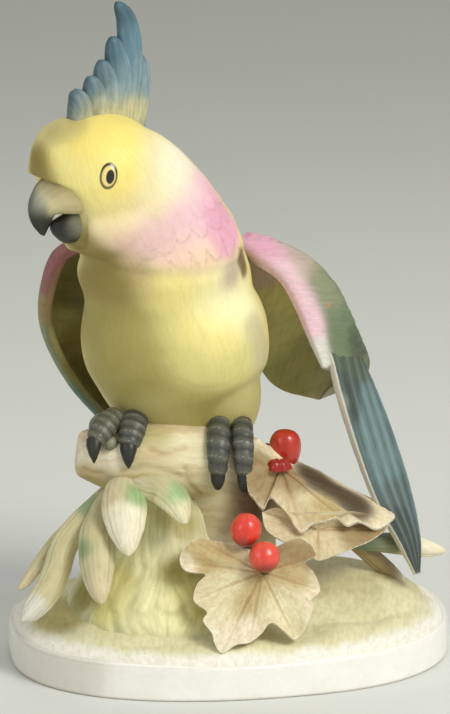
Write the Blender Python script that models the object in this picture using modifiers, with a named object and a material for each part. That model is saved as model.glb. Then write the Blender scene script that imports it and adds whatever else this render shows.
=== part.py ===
"""Bisque figurine: a crested parrot on a log, with drooping leaves, berries and an oval plinth.

The real thing is slip cast in porcelain, its pieces are luted together while damp, and it is fired
as one hollow body, so the model is one closed solid with a hollow and a vent hole underneath.

Metres, +Z up, front towards -Y. The origin is the middle of the plinth's foot.
Every form is a closed shape of its own. The plinth takes them all in one union, and the hollow,
the foot's recess and the vent are cut out of it. Lists of places are in MM from the anchor that
they name, so a form moves with what carries it. MM is a millimetre at the full height, and it
follows FIGURINE_HEIGHT, so the bird, the leaves and the other forms grow with that one size.
"""

import math

import bmesh
import bpy
from mathutils import Euler, Matrix, Vector

# Height from the foot to the crest's tip, and the unit of all lists of places, which follows it
FIGURINE_HEIGHT = 0.1620
MM = FIGURINE_HEIGHT / 162.0

# Plinth, a rounded oval that is slightly turned under the bird
PLINTH_LENGTH = 0.1084
PLINTH_WIDTH = 0.0772
PLINTH_HEIGHT = 0.0091
PLINTH_TURN = math.radians(8.0)
PLINTH_SQUARENESS = 2.35
PLINTH_SIDES = 48
PLINTH_EDGE = 0.0014
FOOT_RIM = 0.0042
FOOT_RECESS = 0.0015

# Ground on the plinth
MOUND_CENTRE = Vector((-0.0145, 0.0, 0.0))
MOUND_RADII = Vector((0.0262, 0.0300, 0.0340))
MOUND_PROFILE = ((-0.05, 1.0), (0.10, 0.96), (0.30, 0.80), (0.50, 0.70), (0.70, 0.62), (0.90, 0.50), (1.0, 0.36))
MOUND_WAIST = 0.70
HILL_CENTRE = Vector((0.0180, 0.0060, -0.0030))
HILL_RADII = Vector((0.0330, 0.0270, 0.0140))
TURF_RISE = 0.0036
TUFT_RADIUS = 0.0019

# Log and the trunk that carries it
LOG_RADIUS = 0.0093
LOG_LEFT = Vector((-0.0352, -0.0080, 0.0526))
LOG_RIGHT = Vector((0.0080, -0.0060, 0.0496))
TRUNK_RADIUS = 0.0135
BOUGH_RADIUS = 0.0080

# Bird
LEG_RADIUS = 0.0056
TOE_RADIUS = 0.0028
CLAW_RADIUS = 0.0017
WING_THICKNESS = 0.0027
WING_EDGE_RADIUS = 0.0038
BLADE_THICKNESS = 0.0025
CREST_THICKNESS = 0.0038
TAIL_THICKNESS = 0.0034
BODY_DEPTH_SHARE = 0.86

# Leaves and berries
SLENDER_THICKNESS = 0.0021
BROAD_THICKNESS = 0.0024
BERRY_RADIUS = 0.0038

# Hollow
WALL = 0.0036
VENT_RADIUS = 0.0018

# Clay: the grid that melts soft forms together, and the share of its faces that is kept
BODY_GRID = 0.0012
BODY_KEEP = 0.072
HOLLOW_GRID = 0.0016
HOLLOW_KEEP = 0.07

LOG_AXIS = (LOG_RIGHT - LOG_LEFT).normalized()
PERCH = LOG_LEFT.lerp(LOG_RIGHT, 0.635) + Vector((0.0, 4.0 * MM, LOG_RADIUS - 0.4 * MM))
LEAF_ROOT = LOG_LEFT.lerp(LOG_RIGHT, 0.20) + Vector((0.0, -3.0 * MM, -LOG_RADIUS + 3.0 * MM))
HEAD = PERCH + Vector((-23.0, -5.2, 61.4)) * MM
HEAD_FORWARD = Vector((-0.88, -0.47, 0.0)).normalized()
HEAD_LEFT = Vector((0.47, -0.88, 0.0)).normalized()


def clear_scene():
    for obj in list(bpy.data.objects):
        bpy.data.objects.remove(obj, do_unlink=True)


def new_collection(name):
    made = bpy.data.collections.new(name)
    bpy.context.scene.collection.children.link(made)
    return made


def at(anchor, *points):
    """The points, given in millimetres from the anchor, as places in metres."""
    return [anchor + Vector(p) * MM for p in points]


def curve_through(points, count):
    """count places, evenly spaced in parameter, on a smooth curve through the points."""
    places = []
    spans = len(points) - 1
    for step in range(count):
        s = step / (count - 1) * spans
        k = min(int(s), spans - 1)
        t = s - k
        p1, p2 = points[k], points[k + 1]
        p0 = points[k - 1] if k else p1 * 2 - p2
        p3 = points[k + 2] if k + 2 <= spans else p2 * 2 - p1
        places.append(
            (p1 * 2 + (p2 - p0) * t + (p0 * 2 - p1 * 5 + p2 * 4 - p3) * t * t
             + (p1 * 3 - p0 - p2 * 3 + p3) * t ** 3) * 0.5
        )
    return places


def values_through(values, count):
    """count numbers on a smooth curve through the values."""
    return [place.x for place in curve_through([Vector((v, 0.0, 0.0)) for v in values], count)]


def mesh_object(name, mesh, collection):
    obj = bpy.data.objects.new(name, mesh)
    collection.objects.link(obj)
    return obj


def object_from_bmesh(name, bm, collection):
    bmesh.ops.recalc_face_normals(bm, faces=bm.faces)
    mesh = bpy.data.meshes.new(name)
    bm.to_mesh(mesh)
    bm.free()
    return mesh_object(name, mesh, collection)


def ball(name, centre, radii, collection, turn=(0.0, 0.0, 0.0), segments=18, rings=11):
    """An ellipsoid."""
    bm = bmesh.new()
    bmesh.ops.create_uvsphere(bm, u_segments=segments, v_segments=rings, radius=1.0)
    bmesh.ops.scale(bm, vec=radii, verts=bm.verts)
    bmesh.ops.rotate(bm, cent=(0, 0, 0), matrix=Euler(turn).to_matrix(), verts=bm.verts)
    obj = object_from_bmesh(name, bm, collection)
    obj.location = centre
    return obj


def tube(name, path, radii, collection, count=6, resolution=1):
    """A round tube of changing radius along a smooth path: a bevelled curve, made a mesh."""
    places = curve_through(path, count)
    widths = values_through(radii, count)
    curve = bpy.data.curves.new(name, "CURVE")
    curve.dimensions = "3D"
    curve.bevel_depth = max(widths)
    curve.bevel_resolution = resolution
    curve.use_fill_caps = True
    spline = curve.splines.new("POLY")
    spline.points.add(count - 1)
    for point, place, width in zip(spline.points, places, widths):
        point.co = (*place, 1.0)
        point.radius = width / curve.bevel_depth
    guide = mesh_object(name + "_guide", curve, collection)
    graph = bpy.context.evaluated_depsgraph_get()
    mesh = bpy.data.meshes.new_from_object(guide.evaluated_get(graph))
    bpy.data.objects.remove(guide, do_unlink=True)
    bm = bmesh.new()
    bm.from_mesh(mesh)
    bpy.data.meshes.remove(mesh)
    bmesh.ops.remove_doubles(bm, verts=bm.verts, dist=1e-6)
    return object_from_bmesh(name, bm, collection)


def join_rings(bm, rings):
    """Side faces between closed rings of equal length, and a cap at each end."""
    for low, high in zip(rings, rings[1:]):
        for n in range(len(low)):
            m = (n + 1) % len(low)
            bm.faces.new((low[n], low[m], high[m], high[n]))
    bm.faces.new(reversed(rings[0]))
    bm.faces.new(rings[-1])


def loft(name, sections, collection, sides=10, trough=0.0):
    """A skin over oval sections, each given by its middle and its two half-axes.

    trough bends the ends of the first half-axis against the second, by that share of its length.
    """
    bm = bmesh.new()
    rings = []
    for middle, first, second in sections:
        bend = second.normalized() * (first.length * trough)
        ring = []
        for n in range(sides):
            c, s = math.cos(math.tau * n / sides), math.sin(math.tau * n / sides)
            ring.append(bm.verts.new(middle + first * c + second * s - bend * (c * c)))
        rings.append(ring)
    join_rings(bm, rings)
    return object_from_bmesh(name, bm, collection)


def flat_limb(name, path, widths, depths, collection, side, count=7, sides=10):
    """A loft along a smooth path, for feathers and body.

    side is the direction of each section's half-width, and the half-depth lies across it.
    """
    places = curve_through(path, count)
    widths = values_through(widths, count)
    depths = values_through(depths, count)
    sections = []
    for k, place in enumerate(places):
        run = (places[min(k + 1, count - 1)] - places[max(k - 1, 0)]).normalized()
        across = (Vector(side) - run * run.dot(Vector(side))).normalized()
        sections.append((place, across * widths[k], run.cross(across) * depths[k]))
    return loft(name, sections, collection, sides)


def thick_sheet(obj, thickness):
    solid = obj.modifiers.new("thickness", "SOLIDIFY")
    solid.thickness = thickness
    solid.offset = 0.0
    solid.use_even_offset = True
    return obj


def sheet(name, rows, thickness, collection):
    """A sheet over rows of places, given its thickness."""
    bm = bmesh.new()
    grid = [[bm.verts.new(p) for p in row] for row in rows]
    for low, high in zip(grid, grid[1:]):
        for n in range(len(low) - 1):
            bm.faces.new((low[n], low[n + 1], high[n + 1], high[n]))
    return thick_sheet(object_from_bmesh(name, bm, collection), thickness)


def fan(name, centre, rim, lift, thickness, collection, rings=2):
    """A leaf sheet from its centre to a closed rim. lift(place on the rim, share) bends it."""
    bm = bmesh.new()
    hub = bm.verts.new(centre)
    loops = []
    for ring in range(1, rings + 1):
        share = ring / rings
        loops.append([bm.verts.new(centre.lerp(p, share) + lift(p, share)) for p in rim])
    for n in range(len(rim)):
        m = (n + 1) % len(rim)
        bm.faces.new((hub, loops[0][n], loops[0][m]))
        for low, high in zip(loops, loops[1:]):
            bm.faces.new((low[n], high[n], high[m], low[m]))
    return thick_sheet(object_from_bmesh(name, bm, collection), thickness)


def melted(name, pieces, grid, smoothing, keep, collection):
    """One soft form from closed pieces that overlap. The pieces are used up."""
    graph = bpy.context.evaluated_depsgraph_get()
    bm = bmesh.new()
    for piece in pieces:
        part = bpy.data.meshes.new_from_object(piece.evaluated_get(graph))
        part.transform(piece.matrix_world)
        bm.from_mesh(part)
        bpy.data.meshes.remove(part)
    for piece in pieces:
        bpy.data.objects.remove(piece, do_unlink=True)
    obj = object_from_bmesh(name, bm, collection)
    remesh = obj.modifiers.new("melt", "REMESH")
    remesh.mode = "VOXEL"
    remesh.voxel_size = grid
    smooth = obj.modifiers.new("smooth", "SMOOTH")
    smooth.factor = 0.5
    smooth.iterations = smoothing
    fewer = obj.modifiers.new("fewer_faces", "DECIMATE")
    fewer.ratio = keep
    return obj


def oval(length, width, height):
    """A rounded oval outline about the plinth's middle, at a height."""
    outline = []
    power = 2.0 / PLINTH_SQUARENESS
    for n in range(PLINTH_SIDES):
        angle = math.tau * n / PLINTH_SIDES
        c, s = math.cos(angle), math.sin(angle)
        x = length / 2 * math.copysign(abs(c) ** power, c)
        y = width / 2 * math.copysign(abs(s) ** power, s)
        outline.append(Matrix.Rotation(PLINTH_TURN, 3, "Z") @ Vector((x, y, height)))
    return outline


def oval_block(name, levels, collection):
    """A block between oval outlines. levels are (height, inset from the plinth's side)."""
    bm = bmesh.new()
    rings = []
    for height, inset in levels:
        outline = oval(PLINTH_LENGTH - 2 * inset, PLINTH_WIDTH - 2 * inset, height)
        rings.append([bm.verts.new(p) for p in outline])
    join_rings(bm, rings)
    return object_from_bmesh(name, bm, collection)


def plinth(collection):
    levels = (
        (0.0, 0.0),
        (PLINTH_HEIGHT - PLINTH_EDGE * 0.4, 0.0),
        (PLINTH_HEIGHT, PLINTH_EDGE * 0.4),
        (PLINTH_HEIGHT + TURF_RISE * 0.38, PLINTH_EDGE),
        (PLINTH_HEIGHT + TURF_RISE * 0.66, PLINTH_EDGE * 2.6),
        (PLINTH_HEIGHT + TURF_RISE * 0.87, PLINTH_EDGE * 5.0),
        (PLINTH_HEIGHT + TURF_RISE, PLINTH_EDGE * 10.0),
    )
    return oval_block("parrot_figurine", levels, collection)


def mound_reach(share):
    """Share of the mound's half-widths that is left at a share of its height."""
    for (low, wide), (high, narrow) in zip(MOUND_PROFILE, MOUND_PROFILE[1:]):
        if share <= high:
            return wide + (narrow - wide) * (share - low) / (high - low)
    return MOUND_PROFILE[-1][1]


def ground(forms):
    """The mound under the log, a low hill to its right, and grass tufts that drape the mound."""
    top = Vector((0.0, 0.0, PLINTH_HEIGHT))
    across, back, up = (Vector(n == k for n in range(3)) * MOUND_RADII[k] for k in range(3))
    loft("mound", [(MOUND_CENTRE + top + up * share, across * reach, back * reach)
                   for share, reach in MOUND_PROFILE], forms, sides=22)
    ball("hill", HILL_CENTRE + top, HILL_RADII, forms, turn=(0, 0.10, -0.2), segments=20)
    tiers = ((11, 185.0, 320.0, 0.06, 0.44), (8, 190.0, 318.0, 0.50, 0.88))
    for tier, (number, first, last, low, high) in enumerate(tiers):
        for n in range(number):
            heading = math.radians(first + (last - first) * n / (number - 1))
            path = []
            for share in (high, (high + low) / 2, low):
                reach = mound_reach(share)
                path.append(MOUND_CENTRE + top + up * share
                            + across * (reach * math.cos(heading)) + back * (reach * math.sin(heading)))
            size = TUFT_RADIUS * (1.0 + 0.25 * math.sin(3.1 * n + tier))
            tube(f"tuft_{tier}_{n}", path, (size * 0.6, size, size * 0.7), forms, count=4)


def log_and_trunk(forms):
    """The lying log with its rounded cut end, and the trunk and bough that grow from it."""
    r = LOG_RADIUS
    tube("log", [LOG_LEFT - LOG_AXIS * (r * 0.1), LOG_LEFT, LOG_LEFT.lerp(LOG_RIGHT, 0.12),
                 LOG_LEFT.lerp(LOG_RIGHT, 0.55), LOG_LEFT.lerp(LOG_RIGHT, 0.85), LOG_RIGHT],
         (r * 0.78, r * 0.94, r * 1.02, r * 0.98, r * 0.95, r * 0.62), forms, count=11, resolution=3)
    tube("trunk", at(LOG_RIGHT, (-12, 4, -40), (-10, 4, -22), (-7, 4, -4)),
         (TRUNK_RADIUS * 1.25, TRUNK_RADIUS, TRUNK_RADIUS * 0.9), forms, count=5, resolution=3)
    tube("bough", at(LOG_RIGHT, (-3, 4, -8), (8, 3, -12.5), (16, 3, -16.5), (23, 4.5, -20.5)),
         [BOUGH_RADIUS * share for share in (1.2, 0.9, 0.62, 0.38)], forms, count=6, resolution=2)


def slender_leaf(name, path, width, forms, facing, count=7):
    """A long drooping leaf, hollowed along its inner side. facing points out of its back."""
    places = curve_through(path, count)
    sections = []
    for k, place in enumerate(places):
        share = k / (count - 1)
        full = max(0.12, math.sin(math.pi * min(1.0, 0.16 + 0.84 * share)) ** 0.6)
        run = (places[min(k + 1, count - 1)] - places[max(k - 1, 0)]).normalized()
        across = run.cross(Vector(facing)).normalized()
        half_depth = SLENDER_THICKNESS / 2 * max(0.5, full)
        sections.append((place, across * (width / 2 * full), across.cross(run) * half_depth))
    return loft(name, sections, forms, sides=8, trough=0.5)


def slender_leaves(forms):
    """Five leaves droop from under the log, and two lie out to the right of the trunk."""
    bough = LOG_RIGHT + Vector((20.0, 0.0, -16.0)) * MM
    table = (
        ("far_leaf", LEAF_ROOT, ((-2.6, 3.6, -1.7), (-10.6, -0.4, -9.1), (-15.1, -3.4, -12.7),
                                 (-23.9, -9.4, -24.0)), 6.4, (-0.8, -0.5, 0.35)),
        ("left_leaf", LEAF_ROOT, ((-2.5, 0.6, -1.8), (-8.7, -6.4, -7.7), (-14.3, -12.4, -18.0),
                                  (-16.7, -15.4, -22.5), (-23.1, -18.4, -29.6)), 7.6, (0.25, -0.95, 0.25)),
        ("middle_leaf", LEAF_ROOT, ((-2.0, 0.6, -0.4), (-5.1, -13.4, -7.5), (-5.0, -18.4, -13.5),
                                    (-3.4, -23.4, -22.9)), 8.8, (-0.15, -0.9, 0.4)),
        ("front_leaf", LEAF_ROOT, ((2.2, -3.4, 2.5), (1.8, -15.4, -0.7), (2.3, -18.4, -6.0),
                                   (3.0, -20.4, -11.8)), 11.0, (0.0, -0.8, 0.6)),
        ("right_leaf", LEAF_ROOT, ((2.9, -3.4, 2.0), (6.9, -8.4, 3.0), (11.3, -11.4, 2.9),
                                   (14.6, -13.4, 0.0), (16.6, -15.4, -5.4)), 8.8, (0.45, -0.6, 0.65)),
        ("long_right_leaf", bough, ((0.9, 5.0, -4.7), (10.8, 8.0, -6.7), (17.1, 11.0, -8.4),
                                    (26.3, 14.0, -10.9)), 6.6, (0.05, -0.95, 0.35)),
        ("short_right_leaf", bough, ((1.6, 6.0, -4.6), (6.7, 9.0, -9.6), (11.3, 12.0, -14.5),
                                     (16.2, 14.6, -19.5)), 5.4, (0.4, -0.85, 0.3)),
    )
    for name, anchor, path, width, facing in table:
        slender_leaf(name, at(anchor, *path), width * MM, forms, facing)


def broad_leaf(name, hub, facing, puff, rim, forms):
    """A lobed leaf from its hub to its rim, puffed out by puff half-way between them."""
    outward = Vector(facing).normalized() * (puff * MM)

    def lift(place, share):
        return outward * (4.0 * share * (1.0 - share))

    return fan(name, hub, rim, lift, BROAD_THICKNESS, forms)


def broad_leaves(forms):
    """A lobed leaf leans on the mound's front, and another, folded in two, roofs the bough."""
    lower, upper, under = at(LOG_RIGHT, (0.2, -21.0, -21.1), (4.9, -7.5, 0.9), (15.0, -9.5, -14.5))
    broad_leaf("lower_leaf", lower, (0.0, -0.9, 0.4), 1.4, at(
        LOG_RIGHT, (2.9, -16.5, -16.5), (9.2, -15.0, -15.2), (12.8, -16.5, -18.2), (10.8, -18.0, -19.8),
        (13.7, -21.5, -25.4), (12.2, -23.5, -29.1), (8.1, -27.0, -35.7), (2.4, -26.0, -32.8),
        (-2.7, -28.5, -35.7), (-9.4, -30.0, -37.9), (-13.2, -25.5, -29.6), (-16.1, -24.0, -27.1),
        (-13.7, -21.3, -21.7), (-19.2, -20.0, -18.9), (-18.5, -18.8, -16.2), (-15.2, -17.0, -14.3),
        (-6.3, -16.5, -15.7)), forms)
    broad_leaf("upper_leaf", upper, (0.0, -0.75, 0.65), 1.0, at(
        LOG_RIGHT, (-2.6, -5.0, 5.8), (5.0, 0.0, 2.8), (14.6, 4.0, -3.5), (21.5, 6.0, -7.9),
        (27.4, 6.0, -11.3), (32.3, 4.0, -14.2), (28.2, -3.0, -15.9), (24.1, -6.0, -13.4),
        (18.7, -9.0, -11.5), (10.2, -12.5, -13.2), (6.5, -12.5, -9.1), (2.2, -12.5, -5.1),
        (-2.9, -11.5, -3.4), (-3.6, -10.5, 1.8)), forms)
    broad_leaf("under_leaf", under, (0.0, -0.9, 0.4), 1.0, at(
        LOG_RIGHT, (0.3, -11.0, -9.6), (8.0, -11.0, -9.6), (17.7, -8.0, -10.2), (25.0, -4.0, -12.4),
        (29.6, -1.0, -16.2), (26.0, -5.0, -19.6), (18.7, -9.5, -20.8), (11.5, -11.5, -20.2),
        (4.0, -12.0, -16.0)), forms)
    pad = BROAD_THICKNESS * 1.5
    tube("lower_leaf_pad", [lower + Vector((0.0, pad, 0.0)), *at(LOG_RIGHT, (-6.0, -8.0, -20.0))],
         (pad, pad * 1.5), forms, count=3)
    tube("under_leaf_pad", [under + Vector((0.0, pad, 0.0)), *at(LOG_RIGHT, (10.0, 1.0, -13.0))],
         (pad * 0.7, pad), forms, count=3)


def berries(forms):
    """Two berries where the lower leaf is fixed, and one on a stem above the upper leaf."""
    first, second, third = at(LOG_RIGHT, (-3.4, -20.0, -11.6), (1.2, -24.0, -17.6), (5.8, 0.0, 3.4))
    r = BERRY_RADIUS
    ball("left_berry", first, (r, r, r * 1.15), forms, segments=14, rings=9)
    ball("right_berry", second, (r, r, r), forms, segments=14, rings=9)
    ball("top_berry", third, (r, r, r * 1.15), forms, segments=14, rings=9)
    tube("left_berry_stem", at(first, (0, 0, 0), (1, 6, -2), (2, 13, -4)), (r * 0.7,) * 3, forms, count=3)
    tube("right_berry_stem", at(second, (0, 0, 0), (0, 6, -1), (0, 13, -2)), (r * 0.7,) * 3, forms, count=3)
    tube("top_berry_stem", at(third, (0, 0, 0), (-0.6, 0, -8)), (r * 0.7,) * 2, forms, count=3)


def on_log(share, angle, lift):
    """A place over the log: a share of its length, degrees from its top to the front, and a lift."""
    turn = math.radians(angle)
    reach = LOG_RADIUS + lift
    axis = LOG_LEFT.lerp(LOG_RIGHT, share)
    return axis + Vector((0.0, -math.sin(turn) * reach, math.cos(turn) * reach))


def feet(forms):
    """Two gripping feet, each with two toes that show, and a claw on each toe."""
    toes = (
        ("left_outer", 0.190, 0.075, 14.0, 62.0, 94.0),
        ("left_inner", 0.300, 0.262, 10.0, 66.0, 97.0),
        ("right_inner", 0.765, 0.760, 14.0, 96.0, 122.0),
        ("right_outer", 0.895, 0.905, 14.0, 100.0, 128.0),
    )
    r = TOE_RADIUS
    for name, root, end, first, last, tip in toes:
        angles = [first + (last - first) * k / 3 for k in range(4)]
        path = [on_log(root + (end - root) * k / 3, angle, r * 0.35)
                for k, angle in enumerate(angles)]
        tube(f"{name}_toe", path, (r * 1.1, r * 1.15, r, r * 0.8), forms, count=6, resolution=2)
        claw = [on_log(end, last - 4.0, r * 0.5), on_log(end, (last + tip) / 2, r * 0.75),
                on_log(end, tip, r * 0.2)]
        tube(f"{name}_claw", claw, (CLAW_RADIUS, CLAW_RADIUS * 0.9, CLAW_RADIUS * 0.3), forms, count=4)
    for name, share, across in (("left_leg", 0.26, -9.5), ("right_leg", 0.84, 11.0)):
        foot = on_log(share, 4.0, -2.0 * MM)
        hip = PERCH + Vector((across, 5.0, 11.0)) * MM
        tube(name, [foot, foot.lerp(hip, 0.5), hip],
             (LEG_RADIUS * 0.79, LEG_RADIUS, LEG_RADIUS * 1.25), forms, count=4, resolution=2)


def body(forms):
    """Vent, belly, breast, neck and head, melted into one form."""
    path = at(PERCH, (0.9, 5.7, -7.6), (-0.1, 5.2, -2.0), (-2.7, 5.1, 6.4), (-4.2, 5.1, 15.4),
              (-6.6, 4.2, 26.9), (-8.3, 2.7, 37.9), (-9.6, 1.2, 44.4), (-12.6, -0.8, 51.4),
              (-17.6, -3.3, 59.4), (-22.1, -5.3, 66.4), (-24.6, -6.3, 71.4), (-26.1, -6.8, 75.4))
    widths = [w * MM for w in (10.0, 14.0, 20.0, 22.6, 22.4, 19.8, 20.4, 18.4, 17.0, 15.4, 11.5, 5.0)]
    depths = [w * BODY_DEPTH_SHARE for w in widths]
    pieces = [flat_limb("trunk_of_bird", path, widths, depths, forms, (1, 0, 0), count=24, sides=24)]
    lumps = (
        ("skull", (-23.3, -5.8, 62.6), (16.8, 15.6, 15.0)),
        ("brow", (-31.6, -9.3, 65.4), (8.8, 8.8, 8.8)),
        ("cheek", (-21.6, -7.3, 53.0), (14.0, 12.0, 10.4)),
        ("near_thigh", (7.0, 2.5, 5.0), (8.2, 9.0, 11.0)),
        ("far_thigh", (-13.2, 3.5, 6.5), (7.5, 8.5, 9.5)),
    )
    for name, centre, radii in lumps:
        pieces.append(ball(name, PERCH + Vector(centre) * MM, Vector(radii) * MM, forms,
                           segments=28, rings=18))
    return melted("bird_body", pieces, BODY_GRID, 8, BODY_KEEP, forms)


def in_head(ahead, left, up):
    """A place given in millimetres ahead of the head's middle, to the bird's left of it and above it."""
    return HEAD + (HEAD_FORWARD * ahead + HEAD_LEFT * left + Vector((0, 0, up))) * MM


def face_cutter(cutters):
    """The space before the face, from under the brow to the throat, where only the beak stands."""
    outline = ((7.4, -2.0), (12.9, 0.4), (15.5, 2.0), (21.0, 5.5), (30.0, 5.5), (30.0, -19.0),
               (11.5, -16.5), (8.5, -12.7), (7.9, -6.0))
    bm = bmesh.new()
    join_rings(bm, [[bm.verts.new(in_head(ahead, side, up)) for ahead, up in outline] for side in (-20.0, 20.0)])
    return object_from_bmesh("face_cutter", bm, cutters)


def beak(forms):
    """The hooked upper mandible and the shorter lower one, with the mouth open between them."""
    upper = (
        ((3.0, 3.0), (4.0, -8.0), 5.6),
        ((9.5, 2.6), (8.5, -7.4), 5.3),
        ((14.2, 1.4), (11.6, -7.2), 4.5),
        ((17.2, -1.6), (12.4, -8.0), 3.6),
        ((18.4, -5.4), (12.8, -9.0), 2.7),
        ((17.8, -8.8), (13.4, -10.4), 1.7),
        ((15.6, -11.6), (14.0, -11.8), 0.6),
    )
    lower = (
        ((3.0, -6.0), (2.0, -13.0), 3.8),
        ((7.4, -8.2), (6.6, -14.2), 3.5),
        ((10.4, -9.4), (9.6, -14.2), 2.8),
        ((12.2, -9.6), (12.0, -12.0), 1.4),
    )
    for name, table in (("upper_beak", upper), ("lower_beak", lower)):
        sections = []
        for top, bottom, half_depth in table:
            high, low = in_head(top[0], 0.0, top[1]), in_head(bottom[0], 0.0, bottom[1])
            sections.append((high.lerp(low, 0.5), (high - low) / 2, HEAD_LEFT * half_depth * MM))
        loft(name, sections, forms)


def crest(forms):
    """A fan of curved feathers over the crown, tallest at the back, in the head's middle plane."""
    feathers = (
        ("crest_back", (-8.6, 8.0), (-10.8, 17.0), (-11.4, 23.6), (-11.0, 28.8), 2.8),
        ("crest_tall", (-7.0, 8.0), (-8.0, 20.0), (-8.2, 31.0), (-4.8, 40.8), 3.7),
        ("crest_second", (-4.0, 8.0), (-5.0, 17.6), (-5.2, 26.0), (-3.8, 33.4), 3.4),
        ("crest_third", (-1.0, 9.0), (-1.8, 16.4), (-2.0, 22.6), (-0.6, 28.0), 3.2),
        ("crest_fourth", (2.2, 9.0), (1.2, 15.6), (1.2, 20.4), (2.4, 24.6), 3.0),
        ("crest_fifth", (5.8, 8.6), (4.8, 14.2), (5.2, 18.4), (6.6, 21.8), 2.9),
        ("crest_sixth", (9.4, 7.6), (8.6, 11.8), (9.4, 14.8), (11.0, 17.2), 2.6),
    )
    for name, *points, width in feathers:
        path = [in_head(ahead, 0.0, up) for ahead, up in points]
        half = width * MM
        deep = CREST_THICKNESS / 2
        flat_limb(name, path, (half, half * 0.96, half * 0.8, half * 0.2),
                  (deep * 1.3, deep, deep * 0.8, deep * 0.4), forms, HEAD_FORWARD, count=7, sides=8)


def wing_sheet(name, stations, rows_count, thickness, forms, columns=6):
    """A bowed sheet. Each station is four places from the leading to the trailing edge."""
    lines = [curve_through([station[k] for station in stations], rows_count) for k in range(4)]
    rows = [curve_through([line[n] for line in lines], columns) for n in range(rows_count)]
    return sheet(name, rows, thickness, forms)


def near_wing(forms):
    """The bird's left wing, half open and drooping, with its front edge towards the viewer."""
    stations = [at(PERCH, *places) for places in (
        ((13.9, 8.7, 42.0), (16.9, 12.7, 42.4), (15.9, 17.7, 39.0), (11.9, 20.0, 32.4)),
        ((22.9, 3.7, 39.0), (27.2, 9.7, 38.4), (25.2, 18.7, 30.4), (13.9, 23.7, 17.4)),
        ((28.4, 2.7, 31.4), (34.0, 11.7, 30.4), (31.6, 21.7, 19.4), (15.9, 25.7, 6.4)),
        ((31.4, 1.7, 22.4), (38.0, 12.7, 21.6), (36.6, 22.7, 10.4), (20.9, 26.7, 0.4)),
        ((33.9, 1.2, 13.9), (40.8, 12.7, 13.6), (41.0, 20.7, 4.4), (30.4, 25.7, -2.0)),
    )]
    edge = at(PERCH, (10.0, 9.0, 40.0), (15.6, 6.7, 40.9), (22.2, 4.7, 37.6), (27.6, 3.5, 30.2),
              (31.2, 2.2, 21.6), (34.0, 1.7, 12.9), (36.4, 1.2, 2.4), (39.2, 1.2, -6.6))
    blade = [at(PERCH, *places) for places in (
        ((33.4, 0.7, 15.4), (36.9, 5.7, 15.9), (39.6, 10.7, 15.2), (40.9, 15.0, 13.4)),
        ((36.2, 0.2, 1.4), (39.4, 4.2, 1.9), (42.4, 8.7, 2.4), (44.6, 13.0, 2.4)),
        ((43.2, 0.7, -19.1), (46.2, 3.7, -18.1), (49.0, 7.2, -16.9), (51.4, 10.3, -16.1)),
        ((50.4, 1.7, -33.1), (52.0, 3.7, -32.6), (53.6, 6.1, -32.0), (55.0, 8.3, -31.6)),
        ((54.0, 2.9, -40.1), (54.4, 3.7, -40.2), (54.9, 4.7, -40.4), (55.4, 5.7, -40.4)),
    )]
    r = WING_EDGE_RADIUS
    wing_sheet("near_wing", stations, 9, WING_THICKNESS, forms)
    tube("near_wing_edge", edge, (r * 0.9, r * 1.05, r * 1.05, r, r * 0.86, r * 0.72, r * 0.5, r * 0.34),
         forms, count=12, resolution=2)
    wing_sheet("near_blade", blade, 9, BLADE_THICKNESS, forms, columns=5)


def far_wing(forms):
    """The bird's right wing, seen from its hollow side, with its flight feathers behind the log."""
    stations = [at(PERCH, *places) for places in (
        ((-22.0, 11.0, 41.0), (-24.0, 15.0, 42.4), (-20.0, 20.0, 39.0), (-14.0, 20.0, 32.0)),
        ((-31.0, 12.5, 38.0), (-33.0, 17.0, 37.0), (-29.0, 24.0, 31.0), (-20.0, 26.0, 20.0)),
        ((-35.2, 13.0, 26.0), (-36.4, 19.0, 25.0), (-32.4, 27.0, 18.0), (-21.0, 29.0, 6.0)),
        ((-34.2, 14.8, 16.0), (-35.0, 20.5, 14.5), (-30.6, 28.0, 7.0), (-18.0, 31.0, -5.0)),
        ((-28.6, 18.0, 4.0), (-29.0, 23.0, 2.0), (-24.6, 29.0, -4.0), (-14.0, 32.0, -14.0)),
        ((-20.0, 22.0, -8.0), (-19.5, 25.5, -10.0), (-16.0, 29.5, -14.5), (-9.0, 31.0, -21.0)),
        ((-11.0, 26.0, -22.0), (-10.5, 27.5, -23.5), (-9.0, 29.0, -25.0), (-6.0, 29.5, -27.0)),
    )]
    edge = at(PERCH, (-20.0, 10.6, 41.0), (-27.6, 11.6, 39.6), (-33.0, 12.6, 34.0), (-35.6, 13.6, 24.6),
              (-34.4, 14.7, 15.9), (-31.6, 16.6, 8.6), (-25.0, 19.6, -1.0))
    r = WING_EDGE_RADIUS
    wing_sheet("far_wing", stations, 12, WING_THICKNESS, forms)
    tube("far_wing_edge", edge, (r * 0.8, r * 0.9, r * 0.9, r * 0.8, r * 0.7, r * 0.54, r * 0.36), forms,
         count=10, resolution=2)


def tail(forms):
    """Long tail feathers that hang behind the trunk, three of them, overlapping."""
    for name, across, drop in (("tail_left", -5.0, -36.0), ("tail_middle", 0.0, -40.0),
                               ("tail_right", 5.0, -36.0)):
        path = at(PERCH, (across * 0.4, 10.0, 6.0), (across * 0.7 + 1.0, 19.0, -10.0),
                  (across + 2.0, 24.0, drop * 0.65), (across * 1.3 + 3.0, 26.0, drop))
        half = 5.0 * MM
        deep = TAIL_THICKNESS / 2
        flat_limb(name, path, (half, half, half * 0.95, half * 0.4), (deep * 1.2, deep, deep, deep * 0.7),
                  forms, (1, 0, 0), sides=8)


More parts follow.
